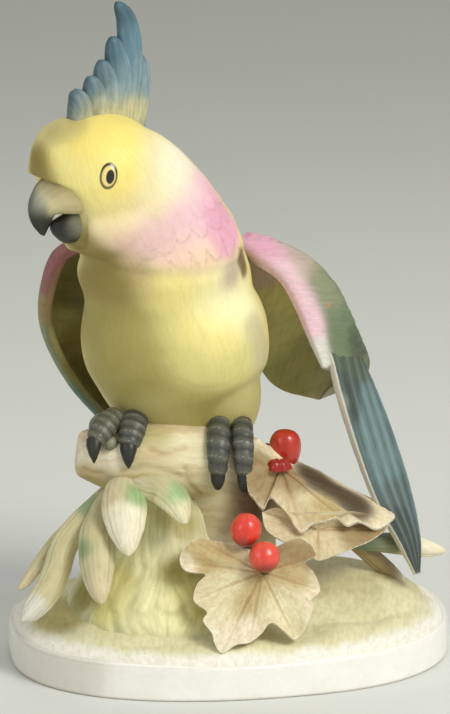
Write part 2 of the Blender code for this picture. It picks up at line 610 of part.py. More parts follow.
def hollow(cutters):
    """The cast's hollow: the bird, the trunk and the mound, each a wall's thickness inside."""
    floor = FOOT_RECESS + WALL
    ceiling = PLINTH_HEIGHT + MOUND_RADII.z - WALL
    inner = Vector((WALL, WALL, WALL))
    trunk = TRUNK_RADIUS - WALL
    lumps = [
        ball("belly_hollow", PERCH + Vector((-4.6, 4.8, 19.0)) * MM, Vector((20.6, 17.8, 23.0)) * MM - inner,
             cutters),
        ball("neck_hollow", PERCH + Vector((-11.0, 1.2, 45.0)) * MM, Vector((17.6, 15.6, 15.0)) * MM - inner,
             cutters),
        ball("head_hollow", PERCH + Vector((-22.6, -5.0, 61.0)) * MM, Vector((15.4, 14.4, 14.4)) * MM - inner,
             cutters),
        ball("mound_hollow", MOUND_CENTRE + Vector((0.0, 0.0, (floor + ceiling) / 2)),
             Vector((MOUND_RADII.x * MOUND_WAIST - WALL, MOUND_RADII.y * MOUND_WAIST - WALL,
                     (ceiling - floor) / 2)), cutters),
        tube("trunk_hollow", at(LOG_RIGHT, (-12, 4, -30), (-11, 4, -18), (-10, 4, 4), (-9, 8, 14)),
             (trunk, trunk, trunk * 0.66, trunk * 0.66), cutters, resolution=2),
    ]
    return melted("slip_hollow", lumps, HOLLOW_GRID, 3, HOLLOW_KEEP, cutters)


def foot_cutters(cutters):
    """The shallow recess inside the foot rim, the vent into the hollow, and what lies below the foot."""
    recess = oval_block("foot_recess", ((-FOOT_RIM, FOOT_RIM), (FOOT_RECESS, FOOT_RIM + FOOT_RECESS)), cutters)
    bm = bmesh.new()
    bmesh.ops.create_cone(bm, cap_ends=True, segments=16, radius1=VENT_RADIUS, radius2=VENT_RADIUS,
                          depth=PLINTH_HEIGHT * 3)
    vent = object_from_bmesh("vent", bm, cutters)
    vent.location = MOUND_CENTRE
    bm = bmesh.new()
    bmesh.ops.create_cube(bm, size=1.0)
    bmesh.ops.scale(bm, vec=(PLINTH_LENGTH * 2, PLINTH_WIDTH * 2, PLINTH_HEIGHT * 8), verts=bm.verts)
    below = object_from_bmesh("below_plinth", bm, cutters)
    below.location = (0.0, 0.0, -PLINTH_HEIGHT * 4)
    return below, recess, vent


def boolean(obj, operation, other=None, collection=None):
    cut = obj.modifiers.new((other or collection).name, "BOOLEAN")
    cut.operation = operation
    cut.solver = "EXACT"
    if collection:
        cut.operand_type = "COLLECTION"
        cut.collection = collection
    else:
        cut.object = other


def bisque():
    material = bpy.data.materials.new("bisque")
    material.use_nodes = True
    shader = material.node_tree.nodes["Principled BSDF"]
    shader.inputs["Base Color"].default_value = (0.82, 0.80, 0.70, 1.0)
    shader.inputs["Roughness"].default_value = 0.55
    shader.inputs["Metallic"].default_value = 0.0
    return material


def build():
    clear_scene()
    figurine = new_collection("figurine")
    forms = new_collection("forms")
    cutters = new_collection("cutters")
    for add in (ground, log_and_trunk, slender_leaves, broad_leaves, berries, feet, beak, crest,
                near_wing, far_wing, tail):
        add(forms)
    boolean(body(forms), "DIFFERENCE", other=face_cutter(cutters))
    obj = plinth(figurine)
    boolean(obj, "UNION", collection=forms)
    for cutter in (*foot_cutters(cutters), hollow(cutters)):
        boolean(obj, "DIFFERENCE", other=cutter)
    for helper in (*forms.objects, *cutters.objects):
        helper.hide_render = True
        helper.display_type = "WIRE"
    obj.data.materials.append(bisque())


build()
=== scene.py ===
"""Hand-painted bisque parrot on a log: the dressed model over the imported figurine.

Lengths are in millimetres until a piece is made. A place written as seen(x, y, depth) lies where the
photograph shows it, x and y in its pixels, at a depth behind the figurine's middle.
"""

import math

import bpy
import numpy as np
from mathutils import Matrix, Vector
from mathutils.bvhtree import BVHTree


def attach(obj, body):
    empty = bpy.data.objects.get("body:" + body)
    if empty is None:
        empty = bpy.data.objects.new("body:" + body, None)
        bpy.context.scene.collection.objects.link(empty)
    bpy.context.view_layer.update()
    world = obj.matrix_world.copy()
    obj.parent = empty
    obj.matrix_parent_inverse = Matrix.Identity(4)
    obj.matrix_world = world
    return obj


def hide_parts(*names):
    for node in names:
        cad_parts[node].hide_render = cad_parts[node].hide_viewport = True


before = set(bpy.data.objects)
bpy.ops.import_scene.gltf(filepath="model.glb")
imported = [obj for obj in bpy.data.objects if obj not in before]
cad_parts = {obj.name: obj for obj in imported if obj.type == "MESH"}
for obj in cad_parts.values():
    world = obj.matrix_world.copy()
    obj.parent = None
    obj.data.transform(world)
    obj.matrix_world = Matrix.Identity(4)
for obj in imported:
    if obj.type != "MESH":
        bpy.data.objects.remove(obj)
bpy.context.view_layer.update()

NODE = "parrot_figurine"
PHOTO_WIDE, PHOTO_HIGH = 450, 714
VIEW_TILT = math.radians(15.0)
VIEW_TARGET = np.array([-0.66, 0.0, 74.7])
VIEW_DISTANCE = 1000.0
VIEW_FOCAL = 4110.0


def unit(v):
    v = np.asarray(v, float)
    return v / np.maximum(np.linalg.norm(v, axis=-1, keepdims=True), 1e-9)


VIEW_AHEAD = np.array([0.0, math.cos(VIEW_TILT), -math.sin(VIEW_TILT)])
VIEW_UP = np.array([0.0, math.sin(VIEW_TILT), math.cos(VIEW_TILT)])
VIEW_POINT = VIEW_TARGET - VIEW_AHEAD * VIEW_DISTANCE

# Places shared with the solid figurine
LOG_LEFT = np.array([-35.2, -8.0, 52.6])
LOG_RIGHT = np.array([8.0, -6.0, 49.6])
LOG_RADIUS = 9.3
PERCH = LOG_LEFT + (LOG_RIGHT - LOG_LEFT) * 0.635 + np.array([0.0, 4.0, LOG_RADIUS - 0.4])
HEAD = PERCH + np.array([-23.0, -5.2, 61.4])
HEAD_FORWARD = unit([-0.88, -0.47, 0.0])
HEAD_LEFT = unit([0.47, -0.88, 0.0])
MOUND = np.array([-14.5, 0.0, 9.1])
PLINTH_HALF = (54.2, 38.6)
PLINTH_HIGH = 9.1
PLINTH_TURN = math.radians(8.0)
PLINTH_POWER = 2.0 / 2.35


# Places, curves and noise

def seen(x, y, depth):
    """The place that the photograph shows at pixel x, y, at a depth along Y."""
    ray = (VIEW_AHEAD + np.array([1.0, 0.0, 0.0]) * (x - PHOTO_WIDE / 2) / VIEW_FOCAL
           - VIEW_UP * (y - PHOTO_HIGH / 2) / VIEW_FOCAL)
    return VIEW_POINT + ray * ((depth - VIEW_POINT[1]) / ray[1])


def seen_line(*places):
    return np.array([seen(*p) for p in places])


def pixels(points):
    """Where places show in the photograph: pixel x, pixel y and distance."""
    d = points - VIEW_POINT
    far = d @ VIEW_AHEAD
    return (PHOTO_WIDE / 2 + VIEW_FOCAL * d[..., 0] / far,
            PHOTO_HIGH / 2 - VIEW_FOCAL * (d @ VIEW_UP) / far, far)


def facing_spot(points, x, y):
    """The nearest to the viewer of the points that show at pixel x, y."""
    px, py, far = pixels(points)
    off = (px - x) ** 2 + (py - y) ** 2
    near = np.flatnonzero(off < max(9.0, off.min() * 1.4))
    return points[near[np.argmin(far[near])]]


def smooth_line(points, count):
    """count places on a smooth curve through the points, evenly spaced."""
    p = np.asarray(points, float)
    p = np.vstack([2 * p[0] - p[1], p, 2 * p[-1] - p[-2]])
    spans = len(p) - 3
    t = np.linspace(0, spans, max(count * 4, 80))
    k = np.minimum(t.astype(int), spans - 1)
    f = (t - k)[:, None]
    a, b, c, d = p[k], p[k + 1], p[k + 2], p[k + 3]
    fine = 0.5 * (2 * b + (c - a) * f + (2 * a - 5 * b + 4 * c - d) * f ** 2
                  + (3 * b - a - 3 * c + d) * f ** 3)
    run = np.concatenate([[0.0], np.cumsum(np.linalg.norm(np.diff(fine, axis=0), axis=1))])
    want = np.linspace(0, run[-1], count)
    return np.stack([np.interp(want, run, fine[:, n]) for n in range(fine.shape[1])], 1)


def smooth_values(values, count):
    """count numbers on a smooth curve through evenly spaced values."""
    v = np.asarray(values, float)
    v = np.concatenate([[2 * v[0] - v[1]], v, [2 * v[-1] - v[-2]]])
    t = np.linspace(0, len(v) - 3, count)
    k = np.minimum(t.astype(int), len(v) - 4)
    f = t - k
    a, b, c, d = v[k], v[k + 1], v[k + 2], v[k + 3]
    return 0.5 * (2 * b + (c - a) * f + (2 * a - 5 * b + 4 * c - d) * f ** 2
                  + (3 * b - a - 3 * c + d) * f ** 3)


def blend(low, high, value):
    """0 below low, 1 above high, and smooth between."""
    t = np.clip((value - low) / (high - low), 0.0, 1.0)
    return t * t * (3 - 2 * t)


def scatter(a, b, c, seed):
    """A steady number from -1 to 1 for whole numbers a, b, c."""
    with np.errstate(over="ignore"):
        n = (np.asarray(a).astype(np.int64) * 374761393 + np.asarray(b).astype(np.int64) * 668265263
             + np.asarray(c).astype(np.int64) * 1103515245 + seed * 1274126177)
        n = (n ^ (n >> 13)) * 1274126177
    return ((n ^ (n >> 16)) & 0xFFFF) / 32767.5 - 1.0


def cloud(points, size, seed=0):
    """Soft noise from -1 to 1 over places, with lumps of the given size."""
    p = np.asarray(points, float) / size
    whole = np.floor(p).astype(np.int64)
    f = p - whole
    f = f * f * (3 - 2 * f)
    total = np.zeros(len(p))
    for dx in (0, 1):
        for dy in (0, 1):
            for dz in (0, 1):
                share = (np.where(dx, f[:, 0], 1 - f[:, 0]) * np.where(dy, f[:, 1], 1 - f[:, 1])
                         * np.where(dz, f[:, 2], 1 - f[:, 2]))
                total += share * scatter(whole[:, 0] + dx, whole[:, 1] + dy, whole[:, 2] + dz, seed)
    return total


def flat_cloud(a, b, size, seed=0):
    return cloud(np.stack([np.ravel(a), np.ravel(b), np.zeros(np.size(a))], 1), size,
                 seed).reshape(np.shape(a))


def line_distance(points, line):
    """How far each place is from a line of places."""
    best = np.full(len(points), 1e9)
    for p, q in zip(line, line[1:]):
        run = q - p
        t = np.clip(((points - p) @ run) / max(run @ run, 1e-9), 0, 1)
        best = np.minimum(best, np.linalg.norm(points - p - t[:, None] * run, axis=1))
    return best


def plumage(across, along, wide, pitch, reach=0.7, seed=0):
    """Rounded feathers that overlap like tiles. along grows towards their tips.

    Gives each place its height on its feather, how near it lies below a feather's edge, a steady
    number for its feather, from -1 to 1, and how round the feather is there, 1 at its middle.
    """
    row = np.floor(along / pitch)

    def cell(k):
        shift = across / wide + 0.5 * (k % 2) + 0.13 * scatter(k, 0, 0, seed)
        number = np.floor(shift)
        x = (shift - number) * 2 - 1
        length = reach * (1 + 0.22 * scatter(k, number, 1, seed))
        rounded = np.sqrt(np.clip(1 - x * x, 0, 1))
        return number, (k + 1) * pitch + length * pitch * rounded, rounded

    upper_number, upper_edge, upper_round = cell(row - 1)
    lower_number, lower_edge, lower_round = cell(row)
    on_upper = along <= upper_edge
    edge = np.where(on_upper, upper_edge, lower_edge)
    number = np.where(on_upper, upper_number, lower_number)
    height = 1 - np.clip((edge - along) / (pitch * (1 + reach)), 0, 1)
    past = np.where(on_upper, 9.0, along - upper_edge)
    return (height, np.exp(-(past / (0.13 * pitch)) ** 2), scatter(row - on_upper, number, 2, seed),
            np.where(on_upper, upper_round, lower_round))


def eased(values, rows, sides, rounds):
    """Values on rings of places, smoothed over their neighbours."""
    grid = values[:rows * sides].reshape(rows, sides)
    for _ in range(rounds):
        grid = (grid + np.roll(grid, 1, 1) + np.roll(grid, -1, 1)) / 3
        grid = np.concatenate([grid[:1], (grid[:-2] + grid[1:-1] + grid[2:]) / 3, grid[-1:]])
    return np.append(grid.ravel(), values[rows * sides:])


# Skins: places and faces of a piece before it is made

def ring_skin(rings):
    """A closed skin over rings of places, shaped (rings, sides, 3)."""
    count, sides = rings.shape[:2]
    verts = np.vstack([rings.reshape(-1, 3), rings[0].mean(0), rings[-1].mean(0)])
    n = np.arange(count * sides).reshape(count, sides)
    m = np.roll(n, -1, 1)
    quads = np.stack([n[:-1], m[:-1], m[1:], n[1:]], -1).reshape(-1, 4)
    first, last = count * sides, count * sides + 1
    caps = ([(first, b, a) for a, b in zip(n[0], m[0])] + [(last, a, b) for a, b in zip(n[-1], m[-1])])
    return verts, [tuple(q) for q in quads.tolist()] + [tuple(int(k) for k in c) for c in caps]


def frames_along(path, facing):
    """Run, across and outward directions at each place of a path. facing may change along it."""
    run = unit(np.gradient(path, axis=0))
    facing = np.asarray(facing, float)
    if facing.ndim == 2:
        facing = smooth_line(facing, len(path)) if len(facing) != len(path) else facing
    across = unit(np.cross(run, np.broadcast_to(facing, path.shape)))
    return run, across, np.cross(across, run)


def lofted(path, half_wide, half_deep, facing, sides=40, square=1.0, trough=0.0):
    """Rings of an oval section along a path. square below 1 makes its corners fuller."""
    run, across, outward = frames_along(path, facing)
    turn = np.linspace(0, math.tau, sides, endpoint=False)
    c = np.sign(np.cos(turn)) * np.abs(np.cos(turn)) ** square
    s = np.sign(np.sin(turn)) * np.abs(np.sin(turn)) ** square
    wide, deep = np.broadcast_to(half_wide, len(path)), np.broadcast_to(half_deep, len(path))
    bend = np.broadcast_to(trough, len(path)) * wide
    return (path[:, None] + across[:, None] * (c[None, :, None] * wide[:, None, None])
            + outward[:, None] * ((s[None, :] * deep[:, None] - c[None, :] ** 2 * bend[:, None])[...,
                None])), turn


def outward_normals(verts, faces):
    total = np.zeros_like(verts)
    tris = np.array([(f[0], f[1], f[2]) for f in faces] + [(f[0], f[2], f[3]) for f in faces if len(f) == 4])
    normal = np.cross(verts[tris[:, 1]] - verts[tris[:, 0]], verts[tris[:, 2]] - verts[tris[:, 0]])
    volume = np.einsum("ij,ij->", verts[tris[:, 0]], normal)
    for k in range(3):
        for axis in range(3):
            total[:, axis] += np.bincount(tris[:, k], normal[:, axis], len(verts))
    return unit(total) * (1 if volume > 0 else -1), volume > 0


def raised(skin, height):
    verts, faces = skin
    normal, _ = outward_normals(verts, faces)
    return verts + normal * np.broadcast_to(height, len(verts))[:, None], faces


def joined(*skins):
    verts, faces, start = [], [], 0
    for v, f in skins:
        verts.append(v)
        faces += [tuple(k + start for k in face) for face in f]
        start += len(v)
    return np.vstack(verts), faces


def egg(centre, radii, rings=40, sides=64):
    """A closed ellipsoid."""
    up = np.linspace(-math.pi / 2, math.pi / 2, rings)[1:-1]
    turn = np.linspace(0, math.tau, sides, endpoint=False)
    grid = np.stack([np.cos(up)[:, None] * np.cos(turn), np.cos(up)[:, None] * np.sin(turn),
                     np.sin(up)[:, None] * np.ones(sides)], -1)
    return ring_skin(centre + grid * np.asarray(radii))


def rod(points, radii, count=40, sides=40):
    path = smooth_line(points, count)
    wide = smooth_values(radii, count)
    run = unit(path[-1] - path[0])
    facing = (0, 0, 1) if abs(run[2]) < 0.8 else (1, 0, 0)
    rings, _ = lofted(path, wide, wide, facing, sides)
    return ring_skin(rings)


def melted(skins, grid, rounds):
    """One soft skin round closed skins that overlap."""
    verts, faces = joined(*skins)
    mesh = bpy.data.meshes.new("clay")
    mesh.from_pydata(verts.tolist(), [], faces)
    obj = bpy.data.objects.new("clay", mesh)
    bpy.context.scene.collection.objects.link(obj)
    remesh = obj.modifiers.new("melt", "REMESH")
    remesh.mode = "VOXEL"
    remesh.voxel_size = grid
    smooth = obj.modifiers.new("smooth", "SMOOTH")
    smooth.factor = 0.5
    smooth.iterations = rounds
    done = bpy.data.meshes.new_from_object(obj.evaluated_get(bpy.context.evaluated_depsgraph_get()))
    out = np.empty(len(done.vertices) * 3)
    done.vertices.foreach_get("co", out)
    quads = [tuple(p.vertices) for p in done.polygons]
    bpy.data.objects.remove(obj, do_unlink=True)
    bpy.data.meshes.remove(mesh)
    bpy.data.meshes.remove(done)
    return out.reshape(-1, 3), quads


# Paint

PIGMENTS = {
    "lemon": "#f3e078", "butter": "#f0e490", "pale_lemon": "#f4f0bc", "cream": "#f2e6b4", "ivory": "#f2ebd0",
    "white": "#f8f8f1", "chalk": "#dedcd0", "meadow": "#e6e0b8", "sand": "#d8cba4", "straw": "#dad288",
    "stone": "#ccc498", "tan": "#c0ae7a", "khaki": "#b8ae70", "olive": "#948440", "light_olive": "#a79c55",
    "drab": "#81753a", "brown": "#a08a60", "bistre": "#75603f", "umber": "#493b20", "taupe": "#b8a596",
    "peach": "#efd0b8", "blush": "#edc6cf", "rose": "#e5a9c1", "dusky_rose": "#9d6568", "spring": "#9bba82",
    "leaf": "#8ea278", "lichen": "#8b9072", "moss": "#6f7f60", "deep_moss": "#55604b", "sea": "#6d8684",
    "teal": "#6b8b98", "pale_teal": "#8da3a8", "dark_teal": "#44636e", "slate": "#5e6c68", "charcoal": "#474f49",
    "soot": "#25261f", "horn": "#606256", "pale_horn": "#b0b3a0",
}


def pigment(tone):
    """A named or written colour as the linear one that a shader takes."""
    code = PIGMENTS.get(tone, tone)
    s = np.array([int(code[k:k + 2], 16) for k in (1, 3, 5)]) / 255.0
    return np.where(s <= 0.04045, s / 12.92, ((s + 0.055) / 1.055) ** 2.4)


def airbrushed(points, ground, strokes):
    """Colours from soft strokes over a ground colour.

    A stroke is (pigment, radius, place, place, ...), and the brush runs from place to place. A place is
    x, y, z, or pixel x, y for the surface that shows there.
    """
    total = np.broadcast_to(pigment(ground), points.shape) * 0.02
    weight = np.full(len(points), 0.02)
    for tone, radius, *places in strokes:
        line = [facing_spot(points, *p) if len(p) == 2 else np.array(p) for p in places]
        near = np.exp(-(line_distance(points, line + line[-1:]) / radius) ** 2)
        total = total + near[:, None] * pigment(tone)
        weight += near
    return total / weight[:, None]


def tinted(colours, code, share):
    """Colours moved towards another by a share from 0 to 1 at each place."""
    share = np.clip(share, 0, 1)[:, None]
    return colours * (1 - share) + pigment(code) * share


def made(name, skin, material, coat, lay=None, groove=None, rim=None):
    """The finished piece, with its paint and masks, on the figurine's body."""
    verts, faces = skin
    _, outward = outward_normals(verts, faces)
    if not outward:
        faces = [tuple(reversed(f)) for f in faces]
    mesh = bpy.data.meshes.new(name)
    mesh.from_pydata((verts * 0.001).tolist(), [], faces)
    mesh.polygons.foreach_set("use_smooth", np.ones(len(mesh.polygons), bool))
    colour = mesh.attributes.new("coat", "FLOAT_COLOR", "POINT")
    colour.data.foreach_set("color", np.hstack([np.clip(coat, 0, 1), np.ones((len(verts), 1))]).ravel())
    vector = mesh.attributes.new("lay", "FLOAT_VECTOR", "POINT")
    vector.data.foreach_set("vector", (verts if lay is None else lay).astype(float).ravel())
    for label, values in (("groove", groove), ("rim", rim)):
        mask = mesh.attributes.new(label, "FLOAT", "POINT")
        mask.data.foreach_set("value", np.zeros(len(verts)) if values is None else np.clip(values, 0, 1))
    mesh.materials.append(material)
    mesh.update()
    piece = bpy.data.objects.new(name, mesh)
    bpy.context.scene.collection.objects.link(piece)
    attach(piece, "root")
    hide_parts(NODE)
    return piece


# Shader groups

def shader_group(name, inputs, outputs):
    group = bpy.data.node_groups.new(name, "ShaderNodeTree")
    for label, kind, value in inputs:
        socket = group.interface.new_socket(label, in_out="INPUT", socket_type=kind)
        if value is not None:
            socket.default_value = value
    for label, kind in outputs:
        group.interface.new_socket(label, in_out="OUTPUT", socket_type=kind)
    return group, group.nodes.new("NodeGroupInput"), group.nodes.new("NodeGroupOutput")


def feed(tree, source, target):
    """Link a socket, or set a plain value."""
    if isinstance(source, bpy.types.NodeSocket):
        tree.links.new(source, target)
    else:
        target.default_value = source


def calc(tree, operation, a, b=0.0, clamp=False):
    node = tree.nodes.new("ShaderNodeMath")
    node.operation = operation
    node.use_clamp = clamp
    feed(tree, a, node.inputs[0])
    feed(tree, b, node.inputs[1])
    return node.outputs[0]


def mixed(tree, share, a, b, kind="MIX"):
    node = tree.nodes.new("ShaderNodeMix")
    node.data_type = "RGBA"
    node.blend_type = kind
    feed(tree, share, node.inputs[0])
    feed(tree, a, node.inputs[6])
    feed(tree, b, node.inputs[7])
    return node.outputs[2]


def between(tree, value, low, high, start=0.0, end=1.0):
    node = tree.nodes.new("ShaderNodeMapRange")
    node.interpolation_type = "SMOOTHSTEP"
    for socket, v in zip(node.inputs[:5], (value, low, high, start, end)):
        feed(tree, v, socket)
    return node.outputs[0]


def mottle(tree, vector, scale, detail=2.0, rough=0.5):
    node = tree.nodes.new("ShaderNodeTexNoise")
    feed(tree, vector, node.inputs["Vector"])
    feed(tree, scale, node.inputs["Scale"])
    node.inputs["Detail"].default_value = detail
    node.inputs["Roughness"].default_value = rough
    return node.outputs["Fac"]


def grain_group():
    """Fired clay's tooth: fine pits and a slow unevenness of the surface and its sheen."""
    group, given, result = shader_group(
        "Fired grain", [("Grain Size", "NodeSocketFloat", 0.35), ("Unevenness", "NodeSocketFloat", 0.5)],
        [("Height", "NodeSocketFloat"), ("Sheen Variation", "NodeSocketFloat")])
    place = group.nodes.new("ShaderNodeTexCoord").outputs["Object"]
    per_metre = calc(group, "DIVIDE", 1000.0, given.outputs["Grain Size"])
    fine = mottle(group, place, per_metre, 3.0, 0.6)
    slow = mottle(group, place, calc(group, "MULTIPLY", per_metre, 0.12), 2.0)
    feed(group, calc(group, "ADD", fine, calc(group, "MULTIPLY", slow, given.outputs["Unevenness"])),
         result.inputs["Height"])
    feed(group, calc(group, "ADD", calc(group, "MULTIPLY", fine, 0.4), calc(group, "MULTIPLY", slow, 0.6)),
         result.inputs["Sheen Variation"])
    return group


def wash_group():
    """A thin wash of colour that pooled and thinned under the brush, with a little dust."""
    group, given, result = shader_group(
        "Brushed wash",
        [("Coat", "NodeSocketColor", (1, 1, 1, 1)), ("Pooling", "NodeSocketFloat", 0.2),
         ("Patch Size", "NodeSocketFloat", 3.0), ("Wash", "NodeSocketColor", (0.5, 0.4, 0.2, 1))],
        [("Color", "NodeSocketColor")])
    place = group.nodes.new("ShaderNodeTexCoord").outputs["Object"]
    per_metre = calc(group, "DIVIDE", 1000.0, given.outputs["Patch Size"])
    broad = between(group, mottle(group, place, per_metre, 4.0, 0.6), 0.35, 0.7)
    fine = between(group, mottle(group, place, calc(group, "MULTIPLY", per_metre, 6.0), 3.0, 0.7), 0.42, 0.75)
    thin = calc(group, "MULTIPLY", calc(group, "ADD", calc(group, "MULTIPLY", broad, 0.6),
                                        calc(group, "MULTIPLY", fine, 0.4)), given.outputs["Pooling"])
    tone = mixed(group, 1.0, given.outputs["Coat"], given.outputs["Wash"], "MULTIPLY")
    feed(group, mixed(group, thin, given.outputs["Coat"], tone), result.inputs["Color"])
    return group


def speck_group():
    """Iron specks of the kiln: scattered dark points in the fired clay."""
    group, given, result = shader_group(
        "Kiln specks", [("Speck Size", "NodeSocketFloat", 0.25), ("Spacing", "NodeSocketFloat", 3.0)],
        [("Specks", "NodeSocketFloat")])
    place = group.nodes.new("ShaderNodeTexCoord").outputs["Object"]
    cells = group.nodes.new("ShaderNodeTexVoronoi")
    feed(group, place, cells.inputs["Vector"])
    feed(group, calc(group, "DIVIDE", 1000.0, given.outputs["Spacing"]), cells.inputs["Scale"])
    reach = calc(group, "DIVIDE", given.outputs["Speck Size"], given.outputs["Spacing"])
    dot = calc(group, "LESS_THAN", cells.outputs["Distance"], calc(group, "MULTIPLY", reach, 0.5))
    split = group.nodes.new("ShaderNodeSeparateColor")
    feed(group, cells.outputs["Color"], split.inputs[0])
    feed(group, calc(group, "MULTIPLY", dot, split.outputs[0]), result.inputs["Specks"])
    return group


def strand_group():
    """Fine strands along a feather, a leaf or a log, from the piece's own lay."""
    group, given, result = shader_group(
        "Strands",
        [("Lay", "NodeSocketVector", None), ("Strand Width", "NodeSocketFloat", 0.5),
         ("Wander", "NodeSocketFloat", 1.0), ("Stretch", "NodeSocketFloat", 0.12)],
        [("Strands", "NodeSocketFloat"), ("Soft Strands", "NodeSocketFloat")])
    axes = group.nodes.new("ShaderNodeSeparateXYZ")
    feed(group, given.outputs["Lay"], axes.inputs[0])
    drift = mottle(group, given.outputs["Lay"], 0.35, 2.0)
    x = calc(group, "ADD", axes.outputs[0],
             calc(group, "MULTIPLY", calc(group, "SUBTRACT", drift, 0.5), given.outputs["Wander"]))
    squeezed = group.nodes.new("ShaderNodeCombineXYZ")
    feed(group, calc(group, "DIVIDE", x, given.outputs["Strand Width"]), squeezed.inputs[0])
    feed(group, calc(group, "MULTIPLY", calc(group, "DIVIDE", axes.outputs[1], given.outputs["Strand Width"]),
                     given.outputs["Stretch"]), squeezed.inputs[1])
    feed(group, axes.outputs[2], squeezed.inputs[2])
    fine = mottle(group, squeezed.outputs[0], 1.0, 2.0, 0.55)
    feed(group, between(group, fine, 0.42, 0.62), result.inputs["Strands"])
    feed(group, fine, result.inputs["Soft Strands"])
    return group


def rub_group():
    """Paint rubbed or chipped off where the piece's edge mask is high, with a broken border."""
    group, given, result = shader_group(
        "Rubbed edge",
        [("Edge", "NodeSocketFloat", 0.0), ("Broken", "NodeSocketFloat", 0.5),
         ("Chip Size", "NodeSocketFloat", 0.6)],
        [("Bare", "NodeSocketFloat")])
    place = group.nodes.new("ShaderNodeTexCoord").outputs["Object"]
    chips = mottle(group, place, calc(group, "DIVIDE", 1000.0, given.outputs["Chip Size"]), 3.0, 0.65)
    ragged = calc(group, "ADD", given.outputs["Edge"],
                  calc(group, "MULTIPLY", calc(group, "SUBTRACT", chips, 0.5), given.outputs["Broken"]))
    feed(group, between(group, ragged, 0.45, 0.62), result.inputs["Bare"])
    return group


GRAIN, WASH, SPECKS, STRANDS, RUB = grain_group(), wash_group(), speck_group(), strand_group(), rub_group()


def placed(tree, group, **values):
    node = tree.nodes.new("ShaderNodeGroup")
    node.node_tree = group
    for label, value in values.items():
        feed(tree, value, node.inputs[label.replace("_", " ")])
    return node


def shade(code):
    return (*pigment(code), 1.0)


def finish(name, rough=0.55, rough_drift=0.18, grain=0.35, tooth=0.03, wash="#c8b070", pooling=0.25,
           patch=3.0,
           strand=None, strand_tone="#8f8f8f", strand_share=0.3, strand_depth=0.0, wander=1.0, stretch=0.12,
           groove="#8c8070", groove_share=0.4, edge=None, edge_share=1.0, chip=0.6, broken=0.6,
           specks=0.35, speck_tone="#5b4a38", spacing=3.2, glaze=0.0, gloss=0.25, sheen_ior=1.45):
    """A painted and fired finish over the piece's own coat colours and masks."""
    material = bpy.data.materials.new(name)
    material.use_nodes = True
    tree = material.node_tree
    shader = tree.nodes["Principled BSDF"]

    def mask(label, socket):
        node = tree.nodes.new("ShaderNodeAttribute")
        node.attribute_name = label
        return node.outputs[socket]

    colour = placed(tree, WASH, Coat=mask("coat", "Color"), Pooling=pooling, Patch_Size=patch,
                    Wash=shade(wash)).outputs["Color"]
    clay = placed(tree, GRAIN, Grain_Size=grain, Unevenness=0.5)
    height = calc(tree, "MULTIPLY", clay.outputs["Height"], tooth)
    if strand:
        lines = placed(tree, STRANDS, Lay=mask("lay", "Vector"), Strand_Width=strand, Wander=wander,
                       Stretch=stretch)
        dark = mixed(tree, 1.0, colour, shade(strand_tone), "MULTIPLY")
        colour = mixed(tree, calc(tree, "MULTIPLY", lines.outputs["Strands"], strand_share), colour, dark)
        height = calc(tree, "SUBTRACT", height,
                      calc(tree, "MULTIPLY", lines.outputs["Soft Strands"], strand_depth))
    hollow = mixed(tree, 1.0, colour, shade(groove), "MULTIPLY")
    colour = mixed(tree, calc(tree, "MULTIPLY", mask("groove", "Fac"), groove_share), colour, hollow)
    if edge:
        bare = placed(tree, RUB, Edge=mask("rim", "Fac"), Broken=broken, Chip_Size=chip).outputs["Bare"]
        colour = mixed(tree, calc(tree, "MULTIPLY", bare, edge_share), colour, shade(edge))
    dots = placed(tree, SPECKS, Speck_Size=0.3, Spacing=spacing).outputs["Specks"]
    colour = mixed(tree, calc(tree, "MULTIPLY", dots, specks), colour, shade(speck_tone))
    feed(tree, colour, shader.inputs["Base Color"])
    feed(tree, calc(tree, "ADD", rough - rough_drift * 0.5,
                    calc(tree, "MULTIPLY", clay.outputs["Sheen Variation"], rough_drift), True),
         shader.inputs["Roughness"])
    bump = tree.nodes.new("ShaderNodeBump")
    bump.inputs["Distance"].default_value = 0.001
    bump.inputs["Strength"].default_value = 1.0
    feed(tree, height, bump.inputs["Height"])
    feed(tree, bump.outputs[0], shader.inputs["Normal"])
    shader.inputs["Coat Weight"].default_value = glaze
    shader.inputs["Coat Roughness"].default_value = gloss
    shader.inputs["IOR"].default_value = sheen_ior
    return material


BIRD_DOWN = finish("bird_down", rough=0.5, wash="#d8c480", pooling=0.14, patch=5.0, strand=0.8,
                   strand_tone="#d9cfb0", strand_share=0.12, wander=3.0, groove="#c0a0a2", groove_share=0.45,
                   specks=0.35, tooth=0.018)
CREST_PAINT = finish("crest_paint", rough=0.5, wash="#9fbcc0", pooling=0.2, patch=2.2, strand=0.6,
                     strand_tone="#86a2aa", strand_share=0.25, strand_depth=0.02, wander=0.6,
                     groove="#6b736c", groove_share=0.55, edge="#cdd0bc", edge_share=0.6, chip=0.9,
                     broken=0.3)
HORN = finish("beak_horn", rough=0.4, wash="#b0b098", pooling=0.12, patch=2.0, strand=0.9,
              strand_tone="#b8baa8", strand_share=0.15, strand_depth=0.01, glaze=0.15, specks=0.2)
WING_PAINT = finish("wing_paint", rough=0.48, wash="#a9b8a2", pooling=0.22, patch=2.4, strand=0.7,
                    strand_tone="#9ba8a2", strand_share=0.15, strand_depth=0.006, wander=0.5,
                    groove="#6c726a", groove_share=0.5, edge="#cfcab8", edge_share=0.7, chip=0.7, broken=0.8)
INNER_WING = finish("inner_wing_paint", rough=0.55, wash="#b8ac70", pooling=0.22, patch=3.0, strand=1.0,
                    strand_tone="#b8b08c", strand_share=0.18, strand_depth=0.02, wander=1.2,
                    groove="#86825c", groove_share=0.35, edge="#b8a0a0", edge_share=0.4)
